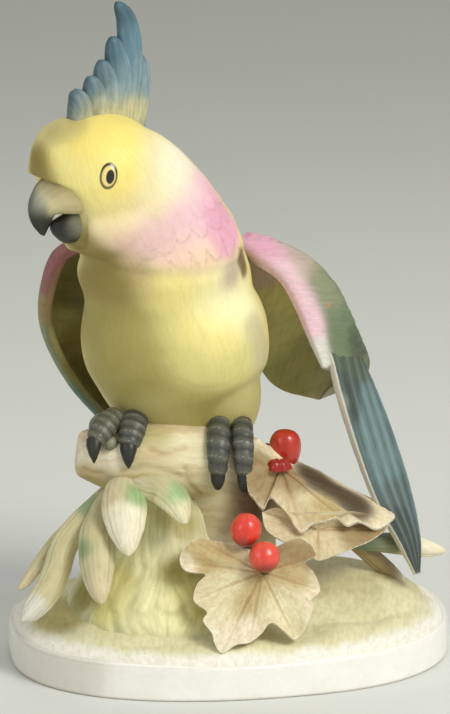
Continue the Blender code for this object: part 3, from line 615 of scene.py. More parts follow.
SCALY_TOES = finish("toe_paint", rough=0.45, wash="#a8a89c", pooling=0.3, patch=1.4, strand=0.6,
                    strand_tone="#b8b8b0", strand_share=0.15, strand_depth=0.01, groove="#8b8c82",
                    groove_share=0.4, edge="#b4b3a6", edge_share=0.4, chip=0.5, broken=1.0, glaze=0.1)
BARK = finish("log_bisque", rough=0.55, wash="#c8ac78", pooling=0.22, patch=4.0, strand=1.6,
              strand_tone="#cdb488", strand_share=0.28, strand_depth=0.02, wander=3.0, groove="#b39a6c",
              groove_share=0.4, specks=0.5)
GRASS = finish("grass_bisque", rough=0.6, wash="#c4c088", pooling=0.18, patch=2.5, strand=1.0,
               strand_tone="#ccc898", strand_share=0.22, strand_depth=0.02, wander=1.5, groove="#a8a46c",
               groove_share=0.5, specks=0.6, spacing=2.2)
SLENDER_PAINT = finish("slender_leaf_paint", rough=0.5, wash="#d0c8a0", pooling=0.2, patch=3.0, strand=0.6,
                       strand_tone="#c4c0a0", strand_share=0.2, strand_depth=0.02, wander=0.5,
                       groove="#9d9a70", groove_share=0.6, specks=0.6, spacing=2.4, speck_tone="#8a7a3c")
DRY_LEAF = finish("dry_leaf_paint", rough=0.62, wash="#c4a460", pooling=0.42, patch=1.4, strand=0.8,
                  strand_tone="#d0b880", strand_share=0.22, strand_depth=0.02, wander=2.0,
                  groove="#b8824c", groove_share=0.6, edge="#efeadb", edge_share=0.9, chip=1.0, broken=0.8,
                  specks=0.8, spacing=1.6, speck_tone="#8f7030")
BERRY_GLAZE = finish("berry_glaze", rough=0.34, wash="#d89080", pooling=0.25, patch=2.0, groove="#7a1008",
                     groove_share=0.8, glaze=0.5, gloss=0.14, specks=0.3, tooth=0.012)
PLINTH_GLAZE = finish("plinth_glaze", rough=0.32, wash="#cfc8ac", pooling=0.22, patch=9.0, tooth=0.012,
                      groove="#b8a888", groove_share=0.6, glaze=0.35, gloss=0.22, specks=0.45, spacing=6.0)


EYE_ENAMEL = finish("eye_enamel", rough=0.3, wash="#d8c070", pooling=0.15, glaze=0.5, gloss=0.12,
                    groove="#33271c", groove_share=1.0, edge="#4a3f33", edge_share=1.0, broken=0.12, chip=0.4,
                    tooth=0.008)


# The bird

def in_head(ahead, left, up):
    return HEAD + HEAD_FORWARD * ahead + HEAD_LEFT * left + np.array([0.0, 0.0, up])


BODY_PATH = PERCH + np.array([
    (0.9, 5.7, -7.6), (-0.1, 5.2, -2.0), (-2.7, 5.1, 6.4), (-4.2, 5.1, 15.4), (-6.6, 4.2, 26.9),
    (-8.3, 2.7, 37.9), (-9.6, 1.2, 44.4), (-12.6, -0.8, 51.4), (-17.6, -3.3, 59.4), (-22.1, -5.3, 66.4),
    (-24.6, -6.3, 71.4), (-26.1, -6.8, 75.4)])
BODY_WIDTHS = (10.0, 14.0, 20.0, 22.6, 22.4, 19.8, 20.4, 18.4, 17.0, 15.4, 11.5, 5.0)

BODY_STROKES = [
    # crown, brow and cheek
    # khaki at the crown's top left is painted shade
    ("lemon", 5.0, (92, 146), (128, 136), (126, 176), (116, 205)), ("khaki", 3.0, (64, 128), (70, 127)),
    # olive on the brow's left edge, over the beak, is painted shade
    ("olive", 3.0, (36, 168), (44, 182)), ("butter", 4.0, (66, 168), (90, 172), (90, 202)),
    ("cream", 5.0, (158, 158), (148, 200), (110, 220)),
    # collar, and the shade under it
    ("ivory", 4.0, (172, 164), (181, 184)), ("blush", 5.0, (198, 204), (178, 236), (150, 242)),
    ("rose", 2.6, (212, 214), (224, 244)), ("peach", 4.0, (122, 234), (202, 262)),
    ("olive", 3.6, (88, 250), (106, 266), (88, 286), (122, 286)), ("tan", 3.4, (136, 266), (142, 286)),
    ("butter", 4.6, (164, 290), (196, 290)), ("pale_lemon", 5.4, (216, 298), (232, 306)),
    # belly and thighs
    # light olive down the belly's left: partly olive airbrushing, partly painted shade
    ("light_olive", 6.4, (98, 326), (146, 346), (112, 372), (150, 378)), ("straw", 4.4, (172, 336), (188, 366)),
    ("butter", 5.0, (194, 330), (222, 340)), ("straw", 4.6, (206, 372), (240, 366)),
    # stone down the belly's right edge is painted shade beside the near wing
    ("stone", 2.4, (256, 326), (262, 356)), ("khaki", 4.4, (156, 408), (180, 418)),
    ("light_olive", 5.0, (196, 406), (206, 412)), ("khaki", 4.0, (232, 408), (256, 396)),
    # bistre and taupe under the near wing's root: partly brown paint, partly painted shade under the wing
    ("bistre", 1.4, (244, 259), (246, 269)), ("taupe", 2.8, (232, 280)),
]
BACK_STROKES = [
    ("ivory", 2.6, (180, 152), (190, 166)), ("blush", 2.6, (200, 178), (208, 190)), ("rose", 2.6, (214, 200), (230, 226)),
    ("blush", 8.0, (-17, 14, 124), (-10, 18, 112)), ("sand", 9.0, (-14, 19, 98)), ("leaf", 10.0, (-12, 21, 82), (-9, 22, 66)),
    ("lemon", 8.0, (-30, 6, 128)), ("butter", 7.0, (-44, 2, 122)), ("cream", 7.0, (-36, 10, 112)),
]


BODY_LUMPS = (
    ((-23.3, -5.8, 62.6), (16.8, 15.6, 15.0)),
    ((-29.3, -8.3, 67.0), (10.0, 9.6, 9.8)),
    ((-21.6, -7.3, 53.0), (14.0, 12.0, 10.4)),
    ((4.5, 6.0, 30.0), (9.5, 9.5, 17.0)),
    ((6.0, 2.5, 6.0), (10.0, 9.5, 14.0)),
    ((-13.2, 3.5, 6.5), (7.5, 8.5, 9.5)),
)
FACE_HEIGHTS = (-24.0, -18.5, -15.0, -12.7, -6.0, -2.4, 0.2, 1.2, 2.0, 3.8, 6.3, 9.0)
FACE_LIMITS = (30.0, 11.0, 7.2, 6.4, 5.8, 6.0, 10.6, 13.4, 16.2, 18.4, 19.4, 30.0)


def body_skin():
    """Head, neck, trunk and thighs in one soft skin, held back from the beak at the face."""
    path = smooth_line(BODY_PATH, 90)
    wide = smooth_values(BODY_WIDTHS, 90)
    rings, _ = lofted(path, wide, wide * 0.86, (0, -1, 0), 96)
    skins = [ring_skin(rings)] + [egg(PERCH + centre, radii) for centre, radii in BODY_LUMPS]
    verts, faces = melted(skins, 0.56, 36)
    off = verts - HEAD
    ahead, left = off @ HEAD_FORWARD, off @ HEAD_LEFT
    limit = np.interp(off[:, 2], FACE_HEIGHTS, FACE_LIMITS)
    excess = np.maximum(ahead - limit, 0) * (1 - blend(6.5, 13.5, np.abs(left)))
    return verts - HEAD_FORWARD * (excess * 0.95)[:, None], faces


def bird_body():
    """Head, neck, breast and belly, with feathered collar and back."""
    verts, faces = body_skin()
    axis = smooth_line(BODY_PATH[::-1], 240)
    run = unit(np.gradient(axis, axis=0))
    step = np.concatenate([[0.0], np.cumsum(np.linalg.norm(np.diff(axis, axis=0), axis=1))])
    nearest = np.concatenate([
        np.argmin(((part[:, None] - axis[None]) ** 2).sum(-1), 1) for part in np.array_split(verts, 40)])
    off = verts - axis[nearest]
    along = step[nearest] + (off * run[nearest]).sum(1)
    turn = np.arctan2(off[:, 0], -off[:, 1])
    across = turn * 19.0
    wander = np.stack([cloud(verts, 9.0, 3), cloud(verts, 9.0, 4)], 1) * 1.6
    small = plumage(across + wander[:, 0] + along * 0.12, along + wander[:, 1] - np.abs(turn) * 3.0, 4.8,
                    3.6, 0.8, 5)
    spots = [facing_spot(verts, *p) for p in ((84, 252), (108, 266), (150, 276), (200, 272), (238, 262))]
    spot_turn, spot_along = [], []
    for s in spots:
        k = np.argmin(((s - axis) ** 2).sum(1))
        spot_turn.append(math.atan2(s[0] - axis[k][0], axis[k][1] - s[1]))
        spot_along.append(step[k] + (s - axis[k]) @ run[k])
    order = np.argsort(spot_turn)
    crease = np.interp(turn, np.array(spot_turn)[order], np.array(spot_along)[order])
    below = along - crease
    front = 1 - blend(1.2, 1.9, np.abs(turn))
    collar = np.exp(-(np.minimum(below, 0) / 7.0) ** 2) * (1 - blend(-1.6, 1.4, below)) * front
    px, py, _ = pixels(verts)
    face = blend(132.0, 185.0, px + (py - 170) * 0.35)
    neck = blend(24.0, 34.0, along) * np.maximum(face,
                                                 blend(1.3, 1.9, np.abs(turn))) * (1 - blend(-2.5, 0.5,
                                                     below))
    back = blend(1.5, 2.1, np.abs(turn)) * blend(20.0, 34.0, along)
    belly = 0.08 * blend(0.0, 3.0, below)
    cover = np.maximum(np.maximum(neck, back), belly)
    furrows = np.zeros(len(verts))
    for line, width in ((((248, 318), (249, 345), (245, 366), (235, 383), (205, 389), (176, 380)), 0.45),
                        (((160, 352), (176, 366), (190, 372)), 0.5),
                        (((182, 300), (196, 318), (206, 342)), 0.4)):
        places = smooth_line([facing_spot(verts, *p) for p in line], 40)
        furrows = np.maximum(furrows, np.exp(-(line_distance(verts,
                                                             places) / width) ** 2) * (0.75 if width < 0.5 else 0.35))
    height = (0.3 * (small[0] - 0.5) * cover + 0.42 * collar - 0.1 * small[1] * cover - 0.1 * furrows
              - 0.2 * np.exp(-((below - 1.0) / 2.0) ** 2) * front
              + 0.04 * cloud(verts, 3.0, 8) + 0.14 * cloud(verts, 9.0, 9) * blend(30, 40, along))
    skin = raised((verts, faces), height)
    coat = airbrushed(verts, "#e9dc9a", BODY_STROKES + BACK_STROKES)
    coat = coat * (1 + 0.06 * small[2] * cover)[:, None]
    groove = np.maximum(small[1] * np.maximum(neck, back) * 0.6, furrows * 0.3)
    lay = np.stack([across, along, np.zeros(len(verts))], 1)
    made("bird_body", skin, BIRD_DOWN, coat, lay, groove)
    return skin


def beak_part(name, table, dabs):
    tops = smooth_line([in_head(t[0], 0.0, t[1]) for t, b, d in table], 60)
    lows = smooth_line([in_head(b[0], 0.0, b[1]) for t, b, d in table], 60)
    deep = smooth_values([d for t, b, d in table], 60)
    turn = np.linspace(0, math.tau, 56, endpoint=False)
    c, s = np.cos(turn), np.sin(turn)
    c = np.sign(c) * np.abs(c) ** 0.9
    middle, half = (tops + lows) / 2, (tops - lows) / 2
    rings = (middle[:, None] + half[:, None] * c[None, :, None]
             + HEAD_LEFT[None, None] * (deep[:, None] * s[None, :])[..., None])
    skin = ring_skin(rings)
    verts = skin[0]
    skin = raised(skin, 0.06 * cloud(verts, 2.2, 11) + 0.12 * cloud(verts, 5.0, 12))
    share = np.repeat(np.linspace(0, 1, 60), 56)
    around = np.tile(turn, 60)
    lay = np.stack([np.append(around * 4.0, [0, 0]), np.append(share * 26.0, [0, 0]), np.zeros(len(verts))],
                   1)
    made(name, skin, HORN, airbrushed(verts, "#5b5c4e", dabs), lay)


def beak():
    beak_part("upper_beak", (
        ((1.0, 2.0), (2.0, -8.2), 6.6), ((5.0, 2.2), (5.0, -8.2), 6.7), ((9.5, 2.2), (8.5, -7.8), 6.3),
        ((14.2, 1.4), (11.6, -7.4), 5.3), ((17.2, -1.6), (12.4, -8.2), 4.3),
        ((18.5, -5.4), (12.8, -9.2), 3.2),
        ((18.0, -8.8), (13.4, -10.6), 2.1), ((16.0, -11.6), (14.2, -12.0), 0.9),
        ((15.0, -12.4), (14.4, -12.4), 0.2)), [
        ("stone", 2.0, (48, 191)), ("horn", 1.8, (32, 204), (36, 212)), ("pale_horn", 1.7, (40, 206)),
        ("cream", 2.4, (56, 201), (78, 208)), ("soot", 1.7, (37, 223), (42, 230))])
    beak_part("lower_beak", (
        ((1.0, -5.4), (0.0, -13.0), 5.0), ((4.0, -6.2), (3.4, -14.0), 5.0), ((7.4, -7.3), (6.6, -14.8), 4.7),
        ((10.4, -8.3), (9.6, -14.8), 3.8), ((12.4, -9.2), (12.0, -12.8), 2.2),
        ((12.9, -10.0), (12.8, -11.4), 0.6)), [
        ("soot", 1.9, (58, 228), (64, 234)), ("horn", 1.5, (72, 232)), ("pale_horn", 1.6, (78, 228))])


def eyes(body):
    """Slightly domed oval eyes set on the head, one on each side."""
    verts, faces = body
    tree = BVHTree.FromPolygons([tuple(v) for v in verts], faces)
    first = facing_spot(verts, 111, 176)
    normal = unit(first - (HEAD + np.array([0, 0, 2.0])))
    sides = {"left_eye": (first, normal)}
    flip = np.eye(3) - 2 * np.outer(HEAD_LEFT, HEAD_LEFT)
    sides["right_eye"] = (HEAD + flip @ (first - HEAD), flip @ normal)
    for name, (centre, out) in sides.items():
        side = unit(np.cross(np.array([0.0, 0.0, 1.0]), out))
        up = np.cross(out, side)
        tilt = math.radians(10.0 if name == "left_eye" else -10.0)
        wide, high = side * math.cos(tilt) - up * math.sin(tilt), up * math.cos(tilt) + side * math.sin(tilt)
        rings, marks = [], []
        for share in np.linspace(1.12, 0.02, 34):
            turn = np.linspace(0, math.tau, 72, endpoint=False)
            x, y = np.cos(turn) * 2.05 * share, np.sin(turn) * 3.05 * share
            row = []
            for a, b in zip(x, y):
                probe = centre + wide * a + high * b
                hit = tree.ray_cast(Vector(probe + out * 6), Vector(-out))[0]
                base = np.array(hit) if hit is not None else probe
                swell = 0.42 * math.sqrt(max(0.0, 1.0 - min(1.0, share / 1.1) ** 2)) - 0.08
                row.append(base + out * swell)
            rings.append(row)
            marks.append(np.stack([x, y, np.full(72, share)], 1))
        rings.insert(0, [p - out * 1.2 for p in rings[0]])
        marks.insert(0, marks[0])
        skin = ring_skin(np.array(rings))
        flat = np.vstack([np.vstack(marks), [0, 0, 1.1], [0, 0, 0]])
        mirror = 1.0 if name == "left_eye" else -1.0
        ring = np.exp(-((flat[:, 2] - 0.92) / 0.12) ** 2)
        pupil = ((flat[:, 0] * mirror - 0.35) / 1.02) ** 2 + ((flat[:, 1] + 0.1) / 1.75) ** 2
        pupil_mask = 1 - blend(0.75, 1.15, pupil)
        upper = np.exp(-((flat[:, 2] - 0.93) / 0.12) ** 2) * blend(-0.5, 2.0, flat[:, 1])
        coat = np.broadcast_to(pigment("#f0dd8c"), flat.shape)
        coat = tinted(coat, "#8f7a4c", ring * 0.5)
        coat = tinted(coat, "#f2e4a0", blend(1.02, 1.08, flat[:, 2]))
        coat = tinted(coat, "#23221e", pupil_mask)
        made(name, skin, EYE_ENAMEL, coat, None, np.clip(ring * 0.85 + upper * 0.3, 0, 1))


CREST = (
    ("crest_back", (-8.0, 6.0), (-9.8, 17.0), (-10.8, 24.0), (-10.4, 29.6), 3.5, 1.7),
    ("crest_tall", (-6.4, 6.0), (-7.6, 20.0), (-8.4, 30.0), (-7.6, 37.4), (-5.0, 42.2), 3.4, 2.0),
    ("crest_second", (-3.8, 6.0), (-5.0, 17.6), (-5.6, 26.0), (-3.8, 34.0), 4.0, 2.3),
    ("crest_third", (-0.8, 6.5), (-1.8, 16.4), (-2.4, 22.6), (-0.8, 28.6), 4.0, 2.5),
    ("crest_fourth", (2.2, 6.5), (1.2, 15.6), (0.8, 20.4), (2.0, 25.0), 3.8, 2.7),
    ("crest_fifth", (5.4, 6.5), (4.6, 14.2), (4.8, 18.4), (6.2, 22.0), 3.5, 2.9),
)
CREST_STROKES = [
    ("dark_teal", 2.5, (117, 10), (125, 26)), ("dark_teal", 2.0, (118, 44), (113, 60)),
    ("teal", 2.8, (130, 38), (132, 68)), ("pale_teal", 2.4, (146, 66), (146, 84), (118, 96)),
    ("slate", 2.6, (104, 80), (78, 98)), ("lichen", 2.2, (92, 107)), ("stone", 2.8, (134, 108), (112, 113)),
]


def crest():
    """Curved feathers over the crown, the shorter ones laid over the taller."""
    for number, (name, *points, width, deep) in enumerate(CREST):
        path = smooth_line([in_head(a, 0.0, u) for a, u in points], 90)
        share = np.linspace(0, 1, 90)
        taper = np.sqrt(np.clip(1 - ((share - 0.42) / 0.58).clip(0, 1) ** 2.6, 0.0, 1)) * (0.94
            + 0.06 * share)
        wide = width * np.maximum(taper, 0.03)
        rings, turn = lofted(path, wide, deep * np.maximum(taper, 0.06) ** 0.6, HEAD_LEFT, 56, 0.8)
        skin = ring_skin(rings)
        verts = skin[0]
        flat_x = np.append((np.cos(turn)[None] * wide[:, None]).ravel(), [0, 0])
        flat_y = np.append(np.repeat(share * 34.0, 56), [0, 34.0])
        side = np.append(np.tile(np.abs(np.cos(turn)), 90), [0, 0])
        lines = np.sin(flat_x * 3.1 + np.sin(flat_y * 0.23 + number) * 1.4 + number)
        shaft = np.exp(-(flat_x / 0.35) ** 2)
        height = 0.06 * lines * (1 - side ** 4) - 0.07 * shaft + 0.03 * flat_cloud(flat_x, flat_y * 0.2,
            1.2, number)
        coat = airbrushed(verts, "#6d8f94", CREST_STROKES)
        coat = coat * (1 + 0.04 * lines)[:, None]
        made(name, raised(skin, height), CREST_PAINT, coat,
             np.stack([flat_x + number * 7, flat_y, np.full(len(verts), number)], 1),
             np.clip(-lines, 0, 1) * 0.15 + shaft * 0.15 + blend(0.7, 1.0, side) * 0.35,
             blend(0.9, 1.0, side) * 0.42)


def surface_rows(stations, rows, columns):
    """A smooth sheet of places through stations, each four places from leading to trailing edge."""
    stations = np.asarray(stations, float)
    lines = [smooth_line(stations[:, k], rows) for k in range(stations.shape[1])]
    return np.array([smooth_line([line[n] for line in lines], columns) for n in range(rows)])


def aerofoil(stations, rows, columns, thickness, nose=0.45, flip=1.0):
    """A wing skin round a sheet of places.

    thickness(along, across) gives its full depth, and nose below 1 makes the edges fuller. Also
    gives, for every place, its share along and across and which side it is on, 1 for outside.
    """
    sheet = surface_rows(stations, rows, 60)
    turn = np.linspace(0, math.tau, columns * 2, endpoint=False)
    across = 0.5 * (1 - np.cos(turn))
    side = np.sin(turn)
    side = np.sign(side) * np.abs(side) ** nose
    grid_across = np.linspace(0, 1, 60)
    middle = np.stack([np.stack([np.interp(across, grid_across, sheet[n, :, k]) for k in range(3)], 1)
                       for n in range(rows)])
    d_along = np.gradient(sheet, axis=0)
    d_across = np.gradient(sheet, axis=1)
    normal = unit(np.cross(d_along, d_across)) * flip
    normals = np.stack([np.stack([np.interp(across, grid_across, normal[n, :, k]) for k in range(3)], 1)
                        for n in range(rows)])
    along = np.linspace(0, 1, rows)[:, None] * np.ones(len(turn))[None]
    grid = np.broadcast_to(across, along.shape)
    depth = thickness(along, grid)
    rings = middle + normals * (side[None] * depth / 2)[..., None]
    ends = lambda a: np.append(a.ravel(), [a[0].mean(), a[-1].mean()])
    return ring_skin(rings), ends(along), ends(grid), ends(np.broadcast_to(side, along.shape))


NEAR_STATIONS = PERCH + np.array([
    ((8.6, 11.5, 39.6), (12.5, 14.0, 42.6), (12.0, 17.5, 40.0), (9.0, 19.0, 35.0)),
    ((12.8, 7.6, 38.6), (17.2, 11.9, 42.0), (15.9, 17.7, 39.0), (11.9, 20.0, 32.4)),
    ((20.2, 4.0, 34.4), (27.0, 8.9, 37.8), (25.2, 18.7, 30.4), (13.9, 23.7, 17.4)),
    ((24.6, 2.8, 27.2), (33.6, 10.5, 30.4), (31.6, 21.7, 19.4), (15.9, 25.7, 6.4)),
    ((27.8, 1.8, 19.6), (37.6, 11.5, 21.6), (36.6, 22.7, 10.4), (20.9, 26.7, 0.4)),
    ((30.8, 1.2, 12.8), (40.6, 11.9, 13.6), (41.0, 20.7, 4.4), (30.4, 25.7, -2.0)),
])
BLADE_STATIONS = PERCH + np.array([
    ((31.6, 3.4, 18.4), (35.2, 8.0, 18.0), (37.6, 12.0, 17.0), (38.8, 16.0, 15.0)),
    ((36.0, 0.0, 1.4), (39.4, 4.2, 1.9), (42.4, 8.7, 2.4), (44.8, 13.0, 2.4)),
    ((43.0, 0.5, -19.1), (46.2, 3.7, -18.1), (49.0, 7.2, -16.9), (51.6, 10.3, -16.1)),
    ((50.2, 1.5, -33.1), (52.0, 3.7, -32.6), (53.8, 6.1, -32.0), (55.2, 8.3, -31.6)),
    ((53.9, 2.8, -40.5), (54.4, 3.7, -40.6), (54.9, 4.7, -40.8), (55.4, 5.7, -40.8)),
])
NEAR_STROKES = [
    ("rose", 2.6, (254, 233), (278, 250)), ("blush", 3.0, (276, 264), (304, 300), (314, 330)),
    ("chalk", 2.0, (320, 344), (326, 362)), ("taupe", 2.8, (290, 244), (306, 266)),
    ("lichen", 2.8, (318, 278), (332, 302)), ("moss", 2.8, (338, 322), (344, 356)), ("deep_moss", 2.4, (357, 344), (360, 356)),
]
NEAR_HOLLOW_STROKES = [
    ("peach", 2.2, (263, 282)), ("butter", 3.2, (274, 302)), ("straw", 3.6, (278, 324), (274, 342)),
    ("khaki", 3.6, (296, 360), (302, 380)), ("stone", 3.0, (320, 390)),
]
BLADE_STROKES = [
    ("deep_moss", 2.4, (342, 359), (362, 366)), ("charcoal", 2.6, (350, 384), (354, 402)),
    ("sea", 3.0, (374, 404), (378, 436), (390, 464)), ("slate", 2.6, (398, 492)),
    ("charcoal", 2.6, (400, 520), (415, 560)), ("pale_horn", 1.5, (344, 404)),
]


def near_wing():
    """The half-open wing near the viewer: a rounded pink front edge, coverts and long flight feathers."""
    def depth(along, across):
        roll = np.interp(along, (0, 0.2, 0.6, 0.85, 1.0), (7.0, 7.8, 6.8, 5.0, 3.0))
        return 1.9 + (roll - 1.9) * np.exp(-(across / 0.17) ** 2)

    skin, along, across, side = aerofoil(NEAR_STATIONS, 180, 90, depth, 0.5, 1.0)
    verts = skin[0]
    out = blend(-0.1, 0.1, side)
    flow = across * 34.0 - along * 4.0 + 1.2 * flat_cloud(along * 50, across * 30, 7.0, 3)
    span = along * 48.0 + 1.0 * flat_cloud(along * 50, across * 30, 5.0, 4)
    tiles = plumage(span, flow, 5.0, 4.6, 0.75, 2)
    cover = blend(0.16, 0.34, across) * out
    streak = np.sin(span * 2.2 + flow * 0.9 + 2.0 * flat_cloud(span, flow, 4.0, 6))
    inside = 1 - out
    vanes = np.abs(np.sin(span * 0.62 + flow * 0.18))
    height = (cover * (0.42 * (tiles[0] - 0.5) - 0.2 * tiles[1] + 0.08 * streak)
              + inside * 0.08 * vanes * blend(0.1, 0.3, across)) * (1 - blend(0.9, 1.0, across))
    height = eased(height, 180, 180, 2) + 0.06 * cloud(verts, 1.8, 14)
    inner = airbrushed(verts, "#ccc586", NEAR_HOLLOW_STROKES)
    coat = airbrushed(verts, "#74835f", NEAR_STROKES)
    hollow = (inside * blend(0.1, 0.2, across))[:, None]
    coat = coat * (1 - hollow) + inner * hollow
    coat = coat * (1 + cover * (0.1 * tiles[2] + 0.08 * streak))[:, None]
    coat = tinted(coat, "#cf8a62", np.exp(-((verts - facing_spot(verts, 331, 307)) ** 2).sum(1) / 0.25))
    groove = eased(cover * (0.8 * tiles[1] + 0.2 * np.clip(-streak, 0, 1))
                   + inside * 0.25 * np.exp(-(vanes / 0.22) ** 2), 180, 180, 1)
    made("near_wing_coverts", raised(skin, height), WING_PAINT, coat,
         np.stack([span * 0.7 - flow * 0.7, flow * 0.7 + span * 0.7, side * 3], 1), groove,
         blend(0.97, 1.0, across) * out * 0.7)

    def blade_depth(along, across):
        return np.interp(along, (0, 0.08, 0.3, 0.85, 1.0),
                         (0.8, 2.4, 2.5, 2.0, 0.9)) * (1 - 0.45 * blend(0.2, 1.0, across))

    skin, along, across, side = aerofoil(BLADE_STATIONS, 200, 60, blade_depth, 0.22, 1.0)
    verts = skin[0]
    out = blend(-0.2, 0.2, side)
    fan = across * 4.2 + 0.14 * flat_cloud(along * 60, across * 8, 12.0, 8) + along * 0.6
    quill = fan - np.floor(fan)
    step = 0.5 - quill
    edge_gap = np.exp(-(np.minimum(quill, 1 - quill) / 0.08) ** 2)
    height = (0.3 * step - 0.12 * edge_gap) * (0.35 + 0.65 * out) * blend(0.04, 0.1, across)
    height = eased(height, 200, 120, 1) + 0.05 * cloud(verts, 1.5, 15)
    coat = airbrushed(verts, "#5f6f70", BLADE_STROKES)
    shine = np.exp(-((quill - 0.45) / 0.16) ** 2)
    coat = tinted(coat, "#9db6ba", shine * 0.34 * out * np.sin(np.clip(along, 0, 1) * math.pi) ** 0.7)
    coat = tinted(coat, "#3c4644", edge_gap * 0.4 * out * blend(0.1, 0.5, 0.5
                                                                + 0.5 * flat_cloud(along * 60, fan, 5.0, 18)))
    coat = tinted(coat, "#474f4b", np.exp(-((across - 0.06) / 0.025) ** 2) * 0.5 * out)
    coat = tinted(coat, "#cfc9b6", (1 - blend(0.008, 0.028, across)) * 0.75)
    coat = tinted(coat, "#c9c4ae", (1 - out) * 0.6)
    made("near_wing_quills", raised(skin, height), WING_PAINT, coat,
         np.stack([quill * 3.2 + np.floor(fan) * 5 - along * 14, along * 60, side * 2], 1), edge_gap * 0.3,
         np.maximum(blend(0.06, 0.0, across), 0) + (1 - blend(0.004, 0.022, across)) * 0.7
         + blend(0.96, 1, along) * 0.5)


FAR_STATIONS = PERCH + (-1.2, 0.0, 0.0) + np.array([
    ((-19.0, 11.0, 42.0), (-21.0, 15.0, 43.0), (-18.0, 19.0, 40.0), (-13.0, 19.0, 34.0)),
    ((-23.0, 11.0, 41.0), (-25.0, 15.0, 42.0), (-21.0, 20.0, 38.6), (-14.0, 20.0, 31.6)),
    ((-31.0, 12.5, 37.6), (-33.0, 17.0, 37.0), (-29.0, 24.0, 31.0), (-20.0, 26.0, 20.0)),
    ((-35.2, 13.0, 26.0), (-36.4, 19.0, 25.0), (-32.4, 27.0, 18.0), (-21.0, 29.0, 6.0)),
    ((-34.2, 14.8, 16.0), (-35.0, 20.5, 14.5), (-30.6, 28.0, 7.0), (-18.0, 31.0, -5.0)),
    ((-28.6, 18.0, 4.0), (-29.0, 23.0, 2.0), (-24.6, 29.0, -4.0), (-14.0, 32.0, -14.0)),
    ((-20.0, 22.0, -8.0), (-19.5, 25.5, -10.0), (-16.0, 29.5, -14.5), (-9.0, 31.0, -21.0)),
    ((-11.0, 26.0, -22.0), (-10.5, 27.5, -23.5), (-9.0, 29.0, -25.0), (-6.0, 29.5, -27.0)),
])
FAR_STROKES = [
    ("dusky_rose", 2.6, (62, 254), (47, 278)), ("brown", 2.6, (58, 280), (56, 302)), ("drab", 2.8, (71, 294)),
    ("khaki", 3.0, (59, 328), (58, 352)), ("olive", 3.0, (74, 340), (72, 364)), ("drab", 3.0, (84, 374), (98, 398)),
]
FAR_OUTER_STROKES = [
    ("dusky_rose", 2.6, (62, 252), (45, 284)), ("brown", 2.8, (41, 312)), ("lichen", 2.8, (45, 344), (56, 370)),
    ("leaf", 9.0, (-52, 24, 84)), ("sea", 9.5, (-44, 32, 66), (-30, 34, 48)),
]


def far_wing():
    """The other wing, seen from its hollow side."""
    def depth(along, across):
        roll = np.interp(along, (0, 0.2, 0.6, 1.0), (5.0, 6.0, 4.6, 2.0))
        return 1.9 + (roll - 1.9) * np.exp(-(across / 0.13) ** 2)

    skin, along, across, side = aerofoil(FAR_STATIONS, 170, 70, depth, 0.5, -1.0)
    verts = skin[0]
    out = blend(-0.1, 0.1, side)
    span = along * 74.0
    flow = across * 30.0 + 1.0 * flat_cloud(span, across * 30, 6.0, 21)
    tiles = plumage(span - flow * 0.4, flow, 5.4, 5.0, 0.7, 9)
    vanes = np.abs(np.sin(span * 0.55 + flow * 0.25))
    cover = blend(0.1, 0.28, across)
    height = eased(cover * (out * (0.4 * (tiles[0] - 0.5) - 0.2 * tiles[1]) + (1 - out) * 0.12 * vanes)
                   * (1 - blend(0.9, 1.0, across)), 170, 140, 2)
    shown = (1 - out)[:, None]
    coat = (airbrushed(verts, "#6f8a6c", FAR_OUTER_STROKES) * (1 - shown)
            + airbrushed(verts, "#8a8450", FAR_STROKES) * shown)
    coat = coat * (1 + 0.1 * tiles[2] * cover)[:, None]
    groove = cover * (0.7 * tiles[1] * out + (1 - out) * 0.35 * np.exp(-(vanes / 0.2) ** 2))
    made("far_wing", raised(skin, height + 0.05 * cloud(verts, 1.8, 16)), INNER_WING, coat,
         np.stack([span * 0.8 + flow * 0.3, flow, side * 3], 1), groove, blend(0.975, 1.0, across) * 0.8)


def tail():
    """Three long tail feathers, which hang behind the trunk."""
    for number, (name, across, drop) in enumerate((("tail_left", -5.0, -36.0), ("tail_middle", 0.0, -40.0),
                                                   ("tail_right", 5.0, -36.0))):
        path = smooth_line(PERCH + np.array([
            (across * 0.4, 9.0, 8.0), (across * 0.7 + 1.0, 19.0, -10.0), (across + 2.0, 24.0, drop * 0.65),
            (across * 1.3 + 3.0, 26.0, drop)]), 90)
        share = np.linspace(0, 1, 90)
        wide = 5.2 * np.sqrt(np.clip(1 - ((share - 0.6) / 0.4).clip(0, 1) ** 3, 0.004, 1))
        rings, turn = lofted(path, wide, 1.8 * (wide / 5.2) ** 0.5 + (0.3 if number == 1 else 0.0),
                             (0, 1, 0.2), 48, 0.7)
        skin = ring_skin(rings)
        flat_x = np.append((np.cos(turn)[None] * wide[:, None]).ravel(), [0, 0])
        flat_y = np.append(np.repeat(share * 46.0, 48), [0, 46.0])
        shaft = np.exp(-(flat_x / 0.4) ** 2)
        barbs = np.sin((np.abs(flat_x) * 1.5 + flat_y) * 2.1)
        coat = airbrushed(skin[0], "#5f7f86", [("leaf", 9.0, (PERCH[0], 26.0, 48.0)),
                                               ("dark_teal", 8.0, (PERCH[0] + 2, 30.0, 26.0))])
        made(name, raised(skin, 0.2 * shaft + 0.05 * barbs), WING_PAINT, coat,
             np.stack([flat_x - flat_y * 0.4 + number * 9, flat_y, np.full(len(flat_x), number)], 1),
             np.clip(-barbs, 0, 1) * 0.3, blend(0.9, 1.0, np.abs(flat_x) / 5.2) * 0.6)


# Feet

def on_log(share, angle, lift):
    """A place over the log: a share of its length, degrees from its top to the front, and a lift."""
    turn = math.radians(angle)
    reach = LOG_RADIUS + lift
    return (LOG_LEFT + (LOG_RIGHT - LOG_LEFT) * share
            + np.array([0.0, -math.sin(turn) * reach, math.cos(turn) * reach]))


